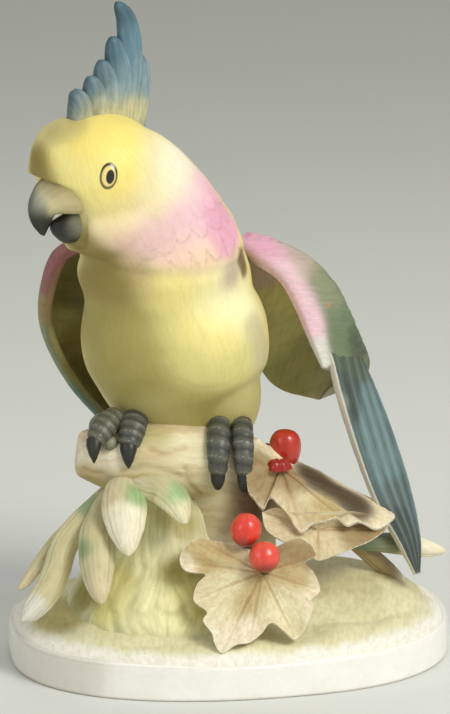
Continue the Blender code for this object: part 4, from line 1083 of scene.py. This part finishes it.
def feet():
    """Two gripping feet: scaly toes over the log's front, with dark claws."""
    toes = (("left_outer", 0.185, 0.070, 8.0, 58.0, 86.0, 2.9),
            ("left_inner", 0.300, 0.262, 8.0, 62.0, 91.0, 3.1),
            ("right_inner", 0.765, 0.760, 8.0, 95.0, 119.0, 2.7),
            ("right_outer", 0.895, 0.905, 8.0, 94.0, 121.0, 2.5))
    for number, (name, root, end, first, last, tip, thick) in enumerate(toes):
        angles = np.linspace(first, last, 6)
        path = smooth_line([on_log(root + (end - root) * k / 5, a, 0.7) for k, a in enumerate(angles)], 110)
        share = np.linspace(0, 1, 110)
        wide = thick * np.interp(share, (0, 0.5, 1), (1.0, 1.08, 0.8))
        wide = wide * np.sqrt(np.clip(1 - ((share - 0.86) / 0.16).clip(0, 1) ** 2, 0.15, 1))
        outward = unit(path - (LOG_LEFT + (LOG_RIGHT - LOG_LEFT) * root))
        rings, turn = lofted(path, wide, wide * 0.95, outward, 44, 0.92)
        skin = ring_skin(rings)
        length = np.append(np.repeat(share, 44), [0, 1])
        folds = length * 5.0 + 0.12 * np.append(np.tile(np.cos(turn), 110), [0, 0])
        saw = folds - np.floor(folds)
        cut = np.exp(-(np.minimum(saw, 1 - saw) / 0.13) ** 2)
        height = 0.06 * np.sin(saw * math.pi) - 0.07 * cut + 0.1 * cloud(skin[0], 2.2, 34)
        coat = np.broadcast_to(pigment("#60604f" if name == "left_outer" else "#4d4f44"), skin[0].shape)
        # lighter on each scale's crest and darker in the cuts between scales: painted highlight and painted shade
        coat = tinted(coat, "#77786b", np.sin(saw * math.pi) ** 3 * 0.3)
        coat = tinted(coat, "#383933", cut * 0.3)
        lay = np.stack([length * 16, np.append(np.tile(turn * 2.5, 110), [0, 0]),
                        np.full(len(length), number)], 1)
        # cut as the groove mask darkens the cuts again: painted shade
        made(f"{name}_toe", raised(skin, height), SCALY_TOES, coat, lay, cut * 0.6,
             np.sin(saw * math.pi) ** 4 * 0.5)
        start = on_log(end, last - 5.0, 0.9)
        claw = smooth_line([start, on_log(end, (last + tip) / 2, 1.3), on_log(end, tip - 2, 0.5),
                            on_log(end, tip, 0.1)], 50)
        slim = smooth_values((0.66, 0.64, 0.5, 0.3, 0.06), 50) * thick
        rings, turn = lofted(claw, slim, slim * 0.9, outward[-1], 32)
        skin = ring_skin(rings)
        coat = airbrushed(skin[0], "#2a2b26", [])
        made(f"{name}_claw", raised(skin, 0.05 * cloud(skin[0], 1.0, 31)), SCALY_TOES, coat,
             None, None, blend(0.5, 1.0, np.append(np.repeat(np.linspace(0, 0.4, 50), 32), [0, 0.4])))
    for name, centre, radii in (("left_ankle", seen(104, 427, -9.5), (3.7, 4.2, 3.4)),
                                ("left_knuckle", seen(110, 443, -14.5), (1.9, 2.0, 1.8))):
        skin = egg(centre, radii, 50, 72)
        coat = airbrushed(skin[0], "#5a5b50", [("lichen", 3.0, centre + (2.0, 0.0, 3.0))])
        made(name, raised(skin, 0.14 * cloud(skin[0], 1.8, 33)), SCALY_TOES, coat)


# Log, ground and plants

def log_and_trunk():
    """The lying log with its rounded end, the trunk under it and the bough to the right."""
    r = LOG_RADIUS
    run = LOG_RIGHT - LOG_LEFT
    out = unit(run)
    skins = [
        rod([LOG_LEFT - out * 1.6, LOG_LEFT - out * 0.4, LOG_LEFT + run * 0.12, LOG_LEFT + run * 0.55,
             LOG_LEFT + run * 0.85, LOG_RIGHT], (r * 0.6, r * 0.95, r * 1.03, r, r * 0.95, r * 0.6), 60, 56),
        rod(LOG_RIGHT + np.array([(-12, 4, -40), (-10, 4, -22), (-7, 4, -4)]), (16.5, 13.5, 12.2), 50, 56),
        rod(LOG_RIGHT + np.array([(-3, 4, -8), (8, 3, -12.5), (16, 3, -16.5), (23, 4.5, -20.5)]),
            (9.4, 7.2, 5.0, 2.8), 50, 48),
        egg(LOG_RIGHT + np.array([-8.0, 0.0, -8.0]), (9.0, 8.0, 9.0)),
    ]
    verts, faces = melted(skins, 0.6, 26)
    streak = cloud(verts * (0.25, 1.0, 1.0), 2.6, 41)
    gnarl = cloud(verts * (0.5, 1.0, 0.7), 6.0, 42)
    cuts = np.zeros(len(verts))
    for line, width in ((((81, 470), (90, 475), (102, 477)), 0.7),
                        (((121, 472), (150, 469), (182, 480)), 0.8),
                        (((150, 447), (165, 451), (185, 446)), 0.7),
                        (((186, 470), (190, 486), (200, 496)), 0.6)):
        places = smooth_line([facing_spot(verts, *p) for p in line], 30)
        cuts = np.maximum(cuts, np.exp(-(line_distance(verts, places) / width) ** 2))
    height = 0.2 * streak + 0.55 * gnarl - 0.4 * cuts
    coat = airbrushed(verts, "#d8cfae", [
        ("ivory", 3.8, (86, 453), (114, 458)), ("tan", 3.0, (90, 478)), ("stone", 3.4, (106, 480), (142, 476)),
        # khaki just under the belly is a painted shadow of the bird
        ("meadow", 4.0, (164, 457), (188, 464)), ("khaki", 3.0, (158, 442)), ("stone", 3.2, (198, 488), (216, 508)),
        ("bistre", 3.2, (234, 514), (248, 510)), ("peach", 2.2, (90, 431))])
    coat = tinted(coat, "#b98d58", blend(0.25, 0.8, streak) * 0.2 + cuts * 0.12)
    lay = np.stack([verts[:, 2] + verts[:, 1] * 0.4, verts[:, 0], verts[:, 1] * 0.2], 1)
    made("log_and_trunk", raised((verts, faces), height), BARK, coat, lay,
         np.maximum(cuts * 0.6, blend(0.3, 0.9, -streak) * 0.25))


def oval_radius(angle):
    """Distance from the plinth's middle to its side, along a heading."""
    local = angle - PLINTH_TURN
    c, s = np.abs(np.cos(local)) / PLINTH_HALF[0], np.abs(np.sin(local)) / PLINTH_HALF[1]
    power = 2.0 / PLINTH_POWER
    return (c ** power + s ** power) ** (-1.0 / power)


def rim_wave(turn):
    """The slow rise and fall of the plinth's hand-finished top edge."""
    return 0.3 * np.sin(turn * 2 + 0.6) + 0.15 * np.sin(turn * 5)


def plinth():
    """The white oval foot, with a soft step below its top edge."""
    turn = np.linspace(0, math.tau, 360, endpoint=False)
    reach = oval_radius(turn) + 0.18 * np.sin(turn * 3 + 1.0) + 0.1 * np.sin(turn * 7)
    levels = ((0.0, -2.5), (0.0, -0.6), (0.15, -0.18), (0.6, 0.0), (3.0, 0.05), (6.0, -0.02), (7.6, -0.05),
              (8.3, -0.1), (8.7, -0.35), (8.85, -0.9), (8.6, -1.8), (7.8, -3.0), (7.0, -8.0))
    line = smooth_line([(z, inset) for z, inset in levels], 70)
    wave = rim_wave(turn)
    rings = []
    for z, inset in line:
        lift = wave * np.clip(z / 9.1, 0, 1) ** 3
        rings.append(np.stack([np.cos(turn) * (reach + inset), np.sin(turn) * (reach + inset), z + lift], 1))
    skin = ring_skin(np.array(rings))
    verts = skin[0]
    # chalk on the foot's left and white on its right are painted shade and painted light
    coat = airbrushed(verts, "#f1f0e6", [
        ("chalk", 6.0, (34, 653), (58, 666)), ("white", 9.0, (190, 689), (330, 684), (410, 656))])
    # darker along the bottom millimetre: painted shadow where the foot meets the floor
    coat = tinted(coat, "#8b7a5c", (1 - blend(0.1, 0.9, verts[:, 2])) * 0.4)
    step = np.exp(-((verts[:, 2] - 8.3) / 0.3) ** 2)
    made("plinth", raised(skin, 0.05 * cloud(verts, 6.0, 51) - 0.1 * step), PLINTH_GLAZE, coat, None,
         step * 0.2)


def ground_height(x, y):
    """Height of the turf over the plinth, without the mound."""
    hill = 9.5 * np.clip(1 - ((x - 18.0) / 33.0) ** 2 - ((y - 6.0) / 27.0) ** 2, 0, 1) ** 0.75
    angle = np.arctan2(y, x)
    share = np.hypot(x, y) / (oval_radius(angle) - 1.1)
    shoulder = 4.0 * np.sqrt(np.clip(1 - np.clip((share - 0.72) / 0.28, 0, 1) ** 2.2, 0, 1))
    return PLINTH_HIGH - 0.5 + shoulder + np.maximum(0, hill - 2.0)


def ground():
    """The turf on the plinth, which runs out to the white edge."""
    turn = np.linspace(0, math.tau, 360, endpoint=False)
    reach = oval_radius(turn) - 1.1 + 0.18 * np.sin(turn * 3 + 1.0)
    rings = [np.stack([np.cos(turn) * reach * 0.97, np.sin(turn) * reach * 0.97, np.full(360, 7.0)], 1)]
    marks = [np.ones(360)]
    for share in np.sin(np.linspace(math.pi / 2, 0.02, 100)):
        x, y = np.cos(turn) * reach * share, np.sin(turn) * reach * share
        rings.append(np.stack([x, y, ground_height(x, y) + rim_wave(turn) * share ** 4 - 0.7 * share ** 24],
                              1))
        marks.append(np.full(360, share))
    skin = ring_skin(np.array(rings))
    verts = skin[0]
    share = np.concatenate([np.concatenate(marks), [1.0, 0.0]])
    inner = 1 - blend(0.84, 0.94, share)
    lump = cloud(verts * (1, 1, 0.4), 7.0, 61)
    blades = cloud(verts * (1, 1, 0.3), 1.6, 62)
    skin = raised(skin, inner * (0.7 * lump + 0.16 * blades) + 0.05 * cloud(verts, 3.0, 63))
    coat = airbrushed(verts, "#dcd8b4", [
        # khaki to the left of the mound is a painted shadow of the mound
        ("khaki", 4.2, (78, 604), (64, 615)), ("meadow", 6.5, (146, 632), (190, 624), (306, 636), (352, 616)),
        ("meadow", 6.5, (404, 598), (418, 618)), ("stone", 5.5, (332, 578), (362, 592)),
        ("stone", 12.0, (40, 15, 12)), ("stone", 12.0, (-20, 30, 12))])
    white = blend(0.9, 0.98, share + 0.025 * cloud(verts, 5.0, 64))
    coat = tinted(coat, "#f1efe4", white)
    made("turf", skin, GRASS, coat, verts,
         blend(0.2, 0.8, -blades) * 0.35 * inner + blend(0.2, 0.9, -lump) * 0.2 * inner)


MOUND_STROKES = [
    ("pale_lemon", 3.6, (142, 534), (146, 554)), ("meadow", 3.2, (166, 542)), ("light_olive", 3.2, (177, 568)),
    ("straw", 3.4, (118, 584), (112, 598)), ("pale_lemon", 3.8, (142, 600), (164, 602)),
    # light olive on the mound's left side is painted shade
    ("light_olive", 3.2, (84, 590), (96, 578)), ("straw", 4.0, (188, 598)), ("khaki", 3.0, (176, 522)),
]


def mound():
    """The grassy mound under the log: rounded drapes of grass hang over each other down its sides."""
    rows, sides = 170, 300
    turn = np.linspace(0, math.tau, sides, endpoint=False)
    profile = smooth_line([(2.0, 43.4), (10.8, 42.6), (15.0, 39.7), (18.6, 32.9), (21.0, 26.1), (24.0, 19.3),
                           (28.0, 13.4), (30.6, 9.0)], rows)
    rings = []
    for reach, high in profile:
        oval = reach * (0.93 + 0.07 * np.cos(2 * (turn - math.pi / 2)))
        rings.append(np.stack([MOUND[0] + np.cos(turn) * oval, MOUND[1] + np.sin(turn) * oval,
                               np.full(sides, high)], 1))
    skin = ring_skin(np.array(rings))
    verts = skin[0]
    around = np.append(np.tile(turn, rows), [0, 0]) * 22.0
    down = np.append(np.repeat(np.linspace(0, 46.0, rows), sides), [0, 46.0])
    sway = 2.6 * flat_cloud(around, down, 9.0, 70)
    drapes = plumage(around + sway, down + 2.4 * flat_cloud(around, down, 6.0, 71), 4.6, 9.5, 0.9, 72)
    leaves = plumage(around * 1.02 - sway + 3.0, down + 2.0 * flat_cloud(around, down, 5.0, 73), 2.9, 6.5,
                     0.9, 74)
    low = blend(24.0, 32.0, down + 3.0 * flat_cloud(around, down * 0.2, 12.0, 75))
    foot = 1 - blend(40.0, 45.0, down)
    round_form = (drapes[0] - 0.5) * 1.7 + 0.7 * drapes[3] - 0.15 * drapes[1]
    small_form = (leaves[0] - 0.5) * 0.9 + 0.4 * leaves[3] - 0.1 * leaves[1]
    ribs = np.sin((around + sway) * 2.6 + 1.5 * flat_cloud(around, down * 0.3, 3.0, 76))
    height = (round_form * low + small_form * (1 - low) + 0.26 * ribs + 0.8 * cloud(verts, 7.0, 77)) * foot
    height = eased(height, rows, sides, 3)
    under = eased(drapes[1] * low + leaves[1] * (1 - low) * 0.6, rows, sides, 3)
    coat = airbrushed(verts, "#dcdab2", MOUND_STROKES)
    coat = coat * (1 + 0.05 * (drapes[2] * low + leaves[2] * (1 - low)))[:, None]
    made("grass_mound", raised(skin, height), GRASS, coat,
         np.stack([around + sway, down, np.zeros(len(verts))], 1),
         under * 0.6 * foot + blend(0.3, 1.0, -ribs) * 0.25)


SLENDER = (
    ("far_leaf", seen_line((108, 486, -7), (92, 502, -9), (75, 520, -11), (56, 538, -14), (38, 562, -17),
                           (19, 590, -20)),
     (1.4, 1.9, 2.2, 2.1, 1.9, 1.1), (-0.7, -0.55, 0.4), 0.4,
     [("leaf", 2.0, (93, 501)), ("stone", 2.4, (73, 523), (52, 550)), ("sand", 2.2, (28, 580))]),
    ("left_leaf", seen_line((108, 490, -10), (98, 502, -13), (82, 522, -17), (66, 545, -20), (58, 570, -23),
                            (48, 592, -26),
                            (32, 612, -28), (21, 622, -29)),
     (1.6, 2.3, 3.0, 3.3, 3.4, 3.4, 3.0, 1.6), (0.2, -0.95, 0.3), 0.55,
     [("leaf", 2.0, (94, 507)), ("stone", 2.6, (78, 532), (60, 584)), ("chalk", 2.4, (34, 616))]),
    ("middle_leaf", seen_line((108, 492, -12), (102, 506, -17), (96, 530, -24), (96, 560, -29),
                              (98, 585, -32), (102, 604, -34)),
     (1.8, 3.0, 4.2, 4.5, 3.6, 1.5), (-0.12, -0.92, 0.38), 0.45,
     [("stone", 2.4, (97, 514), (98, 560)), ("leaf", 1.8, (84, 547)), ("sand", 2.4, (102, 592))]),
    ("front_leaf", seen_line((127, 478, -14), (124, 486, -20), (124, 505, -26), (126, 530, -29),
                             (129, 556, -31)),
     (3.2, 4.9, 5.5, 4.4, 1.4), (0.0, -0.9, 0.45), 0.4,
     [("sand", 2.6, (113, 491)), ("spring", 2.4, (136, 493)), ("ivory", 3.2, (126, 516), (129, 540))]),
    ("right_leaf", seen_line((130, 480, -14), (146, 482, -19), (164, 486, -22), (178, 500, -24),
                             (186, 524, -26)),
     (2.6, 3.6, 4.4, 4.0, 1.4), (0.35, -0.7, 0.62), 0.4,
     [("stone", 2.6, (158, 487)), ("spring", 2.2, (177, 491)), ("meadow", 2.6, (181, 510))]),
    ("long_right_leaf", seen_line((345, 538, -1), (362, 541, 0), (385, 542, 2), (410, 545, 5),
                                  (432, 549, 7), (446, 551, 8)),
     (1.6, 2.2, 2.5, 2.6, 2.3, 1.1), (0.05, -0.9, 0.4), 0.4,
     [("moss", 3.0, (370, 541)), ("lichen", 2.2, (391, 544)), ("ivory", 3.4, (428, 547))]),
    ("short_right_leaf", seen_line((352, 540, 1), (368, 552, 3), (386, 567, 6), (405, 583, 8.6)),
     (1.8, 2.2, 2.2, 1.2), (0.4, -0.85, 0.3), 0.4,
     [("brown", 2.6, (370, 553), (386, 567))]),
)


def slender_leaves():
    """Long drooping leaves, ribbed along their length."""
    for number, (name, line, widths, facing, trough, dabs) in enumerate(SLENDER):
        path = smooth_line(line, 110)
        share = np.linspace(0, 1, 110)
        wide = smooth_values(widths, 110)
        wide = wide * np.sqrt(np.clip(1 - ((share - 0.9) / 0.1).clip(0, 1) ** 2, 0.02, 1))
        rings, turn = lofted(path, wide, np.minimum(0.95, 0.3 + wide * 0.3), facing, 64, 0.8, trough)
        skin = ring_skin(rings)
        x = np.append(np.tile(np.cos(turn), 110), [0, 0])
        flat_y = np.append(np.repeat(share * 40, 64), [0, 40.0])
        ribs = np.cos(x * math.pi * 7.0)
        front = np.append(np.tile(blend(-0.2, 0.2, np.sin(turn)), 110), [0, 0])
        cut = blend(0.3, 1.0, -ribs) * (1 - np.abs(x) ** 6)
        fade = np.append(np.repeat(1 - blend(0.88, 1.0, share), 64), [0, 0])
        height = -0.2 * cut * (0.4 + 0.6 * front) * fade
        coat = airbrushed(skin[0], "#d6d0ae", dabs)
        flat_x = np.append((np.cos(turn)[None] * wide[:, None]).ravel(), [0, 0])
        made(name, raised(skin, height + 0.05 * cloud(skin[0], 2.0, number)), SLENDER_PAINT, coat,
             np.stack([flat_x + number * 11, flat_y, front], 1), cut * 0.5, blend(0.93, 1.0, np.abs(x)) * 0.4)


def broad_leaf(name, hub, facing, outline, veins, dabs, thickness=1.7, puff=1.6):
    """A lobed leaf: its outline as the photograph shows it, each corner with its depth.

    veins number the outline's corners at the lobes' tips. The blade swells between them.
    """
    normal = unit(facing)
    corners = seen_line(*outline)
    rim = smooth_line(np.vstack([corners, corners[:1]]), 241)[:-1]
    tips = corners[list(veins)]
    shares = np.sin(np.linspace(0.03, math.pi / 2, 34))
    flat = hub + (rim - hub)[None] * shares[:, None, None]
    points = flat.reshape(-1, 3)
    near = np.full(len(points), 1e9)
    for tip in tips:
        near = np.minimum(near, line_distance(points, [hub, tip * 0.96 + hub * 0.04]))
    reach = np.linalg.norm(points - hub, axis=1)
    share = np.repeat(shares, 240)
    twig = np.abs(np.sin(near * 1.5 - reach * 0.9))
    swell = (puff * (1 - np.exp(-(near / 2.6) ** 2)) * share * (1 - 0.3 * share)
             + (0.6 * cloud(points, 4.5, len(name)) + 0.22 * cloud(points, 1.9, 7)) * share
             - 0.07 * np.exp(-(twig / 0.3) ** 2) * share)
    vein = np.exp(-(near / 0.3) ** 2) * (1 - 0.6 * share)
    swell = swell - 0.28 * vein
    front = (points + normal * swell[:, None]).reshape(34, 240, 3)
    back = front - normal * thickness
    rings = np.concatenate([back, front[::-1]], 0)
    skin = ring_skin(rings)
    verts = skin[0]
    both = lambda a, b: np.concatenate([b, a.reshape(34, 240)[::-1].ravel(), [0, 0]])
    nil = np.zeros(len(points))
    coat = airbrushed(verts, "#ebe2c2", dabs)
    edge = both(blend(0.965, 1.0, share), blend(0.93, 1.0, share)) * 0.55
    coat = tinted(coat, "#f0ebdc", both(nil, nil + 0.55))
    coat = tinted(coat, "#c08f58", both(vein, nil) * 0.2)
    made(name, skin, DRY_LEAF, coat, np.stack([both(near, near), both(reach, reach), verts[:, 1] * 0.1], 1),
         both(np.maximum(vein * 0.5, np.exp(-(twig / 0.28) ** 2) * 0.25 * share), nil), edge)


def broad_leaves():
    broad_leaf("lower_leaf", seen(262, 572, -27.0), (0.05, -0.80, 0.42), (
        (273, 549, -22.5), (286, 543, -21.5), (299, 539, -21), (310, 545, -21.5), (316, 555, -22.5),
        (305, 562, -24),
        (313, 572, -25), (320, 590, -27.5), (311, 600, -29), (313, 607, -29.5), (305, 629, -31.5),
        (295, 639, -33),
        (284, 631, -32.8), (271, 623, -32), (262, 633, -33.5), (250, 642, -34.5), (236, 645, -35),
        (222, 653, -36),
        (214, 642, -35), (212, 634, -34), (203, 621, -32.5), (207, 612, -31.5), (194, 600, -30),
        (197, 585, -28.5),
        (206, 575, -27.3), (196, 573, -27.2), (186, 571, -27), (180, 562, -26), (183, 550, -24.8),
        (198, 539, -23),
        (215, 541, -22.8), (235, 545, -22.5), (255, 551, -22.5)),
        (27, 22, 17, 15, 11, 7, 4, 29), [
        ("tan", 2.8, (204, 553), (218, 564)), ("ivory", 1.8, (188, 562)), ("meadow", 3.0, (228, 582), (222, 604)),
        ("tan", 2.8, (242, 600), (262, 584)), ("meadow", 3.0, (278, 600), (284, 618)), ("tan", 2.6, (292, 572)),
        # brown along the top, under the under leaf's edge, is a painted shadow
        ("ivory", 2.6, (240, 630), (222, 640)), ("brown", 2.2, (286, 550), (308, 553))])
    broad_leaf("upper_leaf", seen(281, 468, -13.5), (0.0, -0.75, 0.66), (
        (250, 446, -11), (258, 440, -9), (267, 446, -7.5), (281, 452, -6), (300, 463, -4), (320, 472, -2),
        (348, 487, 0),
        (372, 500, 0), (394, 514, -2), (388, 524, -6), (376, 530, -9), (360, 522, -12), (348, 525, -13.5),
        (338, 518, -15), (326, 522, -16), (312, 524, -17.5), (302, 532, -18.5), (294, 524, -18.5),
        (288, 514, -18.5),
        (279, 505, -18.5), (270, 497, -18.5), (263, 508, -18.5), (255, 500, -18), (248, 490, -17.5),
        (246, 468, -16.5),
        (245, 457, -14)),
        (21, 16, 12, 8, 0), [
        ("brown", 2.8, (256, 464), (268, 484), (288, 480)), ("sand", 2.8, (298, 506), (284, 499)),
        ("tan", 2.8, (328, 506)), ("umber", 2.6, (314, 476), (356, 500))], 1.6, 1.2)
    broad_leaf("under_leaf", seen(318, 530, -15.0), (0.0, -0.88, 0.42), (
        (262, 512, -17), (276, 508, -17.2), (292, 512, -17.5), (334, 512, -15), (356, 512, -11),
        (376, 516, -6),
        (390, 519, -3), (386, 529, -6), (372, 540, -10), (356, 547, -13), (338, 554, -16), (318, 560, -18.5),
        (308, 552, -19), (294, 546, -19), (280, 540, -18.5), (266, 530, -18)),
        (0, 11, 7), [
        # brown under the upper leaf's lobes is a painted shadow
        ("sand", 3.4, (288, 530), (330, 540)), ("brown", 3.0, (352, 533), (370, 531))], 1.6, 0.8)


def berries():
    """Glossy red berries, each with creases towards its stalk."""
    table = (("left_berry", seen(246, 530, -24.0), (3.75, 3.6, 4.1), (0.10, 0.25, 1.0), "#e2402f"),
             ("right_berry", seen(264.5, 557, -28.5), (3.75, 3.7, 3.75), (-0.1, 0.4, 1.0), "#e8503e"),
             ("top_berry", seen(285, 448, -6.0), (3.95, 3.8, 4.5), (0.05, 0.05, 1.0), "#b8301c"))
    for number, (name, centre, radii, axis, red) in enumerate(table):
        up = unit(axis)
        side = unit(np.cross(up, (0.0, 1.0, 0.1)))
        deep = np.cross(up, side)
        tilt = np.linspace(-math.pi / 2, math.pi / 2, 72)[1:-1]
        turn = np.linspace(0, math.tau, 96, endpoint=False)
        c = np.cos(tilt) ** (0.62 if name == "top_berry" else 0.94)
        crease = 1 - 0.02 * np.exp(-((np.mod(turn * 5 / math.tau + 0.3, 1) - 0.5) / 0.12) ** 2)
        grid = (side * (c[:, None] * np.cos(turn) * crease * radii[0])[..., None]
                + deep * (c[:, None] * np.sin(turn) * crease * radii[1])[..., None]
                + up * (np.sin(tilt)[:, None] * radii[2] * np.ones(96))[..., None])
        skin = ring_skin(centre + grid)
        high = np.append(np.repeat(np.sin(tilt), 96), [-1, 1])
        line = np.append(np.tile(np.clip((1 - crease) / 0.02, 0, 1), 70), [0, 0])
        coat = np.broadcast_to(pigment(red), skin[0].shape)
        # darker towards the underside: painted shade
        coat = tinted(coat, "#8f1f12", blend(-0.2, -1.0, high) * 0.5 + (1 - blend(-1.0, -0.3, high)) * 0.5)
        # lighter towards the top of the two lower berries: painted light
        coat = tinted(coat, "#f0705c", blend(0.3, 1.0, high) * (0.35 if name != "top_berry" else 0.0))
        made(name, raised(skin, 0.07 * cloud(skin[0], 1.6, 80 + number)), BERRY_GLAZE, coat, None, line * 0.2)
    frill = seen(279, 467, -14.0)
    rings = []
    for share, high in ((0.2, 2.2), (0.7, 2.0), (1.0, 0.6), (1.1, -0.6), (0.8, -1.0), (0.2, -0.8)):
        turn = np.linspace(0, math.tau, 60, endpoint=False)
        reach = 2.7 * share * (1 + 0.08 * np.cos(turn * 6) * share)
        rings.append(np.stack([frill[0] + np.cos(turn) * reach, frill[1] + np.sin(turn) * reach * 0.8,
                               frill[2] + high * 0.8 + 0.15 * np.cos(turn * 6 + 1)], 1))
    rings = np.stack([smooth_line(np.array(rings)[:, k], 24) for k in range(60)], 1)
    skin = ring_skin(rings)
    made("berry_frill", raised(skin, 0.08 * cloud(skin[0], 0.9, 90)), BERRY_GLAZE,
         airbrushed(skin[0], "#9c1c0e", []))
    for name, line, thick in (
            ("left_berry_stalk", [seen(246, 541, -22), seen(250, 552, -20), seen(256, 566, -25)], 1.1),
            ("right_berry_stalk", [seen(266, 566, -27), seen(264, 572, -26)], 1.2),
            ("top_berry_stalk", [seen(266, 447, -3), seen(274, 449, -4.5), seen(280, 452, -5.5)], 1.0)):
        skin = rod(line, (thick,) * len(line), 30, 28)
        made(name, raised(skin, 0.1 * cloud(skin[0], 1.2, 92)), BARK, airbrushed(skin[0], "#5c4a2e", []))


# Studio

def studio():
    """A pale sweep under and behind the figurine, soft light from the right, and the camera."""
    floor = bpy.data.meshes.new("floor")
    line = [(-2.2, 0.0), (3.2, 0.0), (3.7, 0.15), (3.95, 0.6), (4.0, 2.6)]
    line = smooth_line([(y, z, 0.0) for y, z in line], 60)
    line[:, 1] = np.maximum(line[:, 1], 0)
    verts = [(x, y, z) for y, z, _ in line for x in (-3.5, 3.5)]
    floor.from_pydata(verts, [], [(2 * k, 2 * k + 1, 2 * k + 3, 2 * k + 2) for k in range(59)])
    floor.polygons.foreach_set("use_smooth", [True] * 59)
    sweep = bpy.data.objects.new("floor", floor)
    bpy.context.scene.collection.objects.link(sweep)
    paper = bpy.data.materials.new("pale_paper")
    paper.use_nodes = True
    tree = paper.node_tree
    shader = tree.nodes["Principled BSDF"]
    axes = tree.nodes.new("ShaderNodeSeparateXYZ")
    feed(tree, tree.nodes.new("ShaderNodeTexCoord").outputs["Object"], axes.inputs[0])
    # darker from the figurine back to 0.85 m and over the whole backdrop: painted falloff of the light
    far = between(tree, axes.outputs[1], 0.0, 0.85)
    tone = mixed(tree, far, shade("#d8dad4"), shade("#b4b6ad"))
    fleck = mottle(tree, tree.nodes["Texture Coordinate"].outputs["Object"], 90.0, 3.0)
    feed(tree, mixed(tree, calc(tree, "MULTIPLY", fleck, 0.05), tone, shade("#c6c6bd")),
         shader.inputs["Base Color"])
    shader.inputs["Roughness"].default_value = 0.9
    shader.inputs["Specular IOR Level"].default_value = 0.1
    floor.materials.append(paper)

    world = bpy.data.worlds.new("studio")
    world.use_nodes = True
    world.node_tree.nodes["Background"].inputs[0].default_value = (1.0, 0.99, 0.97, 1.0)
    world.node_tree.nodes["Background"].inputs[1].default_value = 0.46
    bpy.context.scene.world = world
    for name, place, size, power, tone in (
            ("key_light", (0.62, -0.62, 0.86), 0.55, 9.6, (1.0, 0.985, 0.95)),
            ("fill_light", (-0.9, -0.8, 0.7), 0.9, 3.0, (0.97, 0.98, 1.0)),
            ("back_light", (0.2, 0.9, 1.0), 0.8, 2.5, (1.0, 1.0, 1.0))):
        lamp = bpy.data.lights.new(name, "AREA")
        lamp.shape = "DISK"
        lamp.size = size
        lamp.energy = power
        lamp.color = tone
        obj = bpy.data.objects.new(name, lamp)
        obj.location = place
        obj.rotation_euler = (Vector((0, 0, 0.07)) - Vector(place)).to_track_quat("-Z", "Y").to_euler()
        bpy.context.scene.collection.objects.link(obj)

    camera = bpy.data.cameras.new("camera")
    camera.sensor_fit = "VERTICAL"
    camera.sensor_height = 24.0
    camera.lens = VIEW_FOCAL / PHOTO_HIGH * 24.0
    camera.clip_start = 0.05
    camera.clip_end = 20.0
    viewer = bpy.data.objects.new("camera", camera)
    viewer.location = VIEW_POINT * 0.001
    viewer.rotation_euler = (math.pi / 2 - VIEW_TILT, 0.0, 0.0)
    bpy.context.scene.collection.objects.link(viewer)
    bpy.context.scene.camera = viewer
    bpy.context.scene.view_settings.view_transform = "Standard"


eyes(bird_body())
beak()
crest()
near_wing()
far_wing()
tail()
feet()
log_and_trunk()
plinth()
ground()
mound()
slender_leaves()
broad_leaves()
berries()
studio()
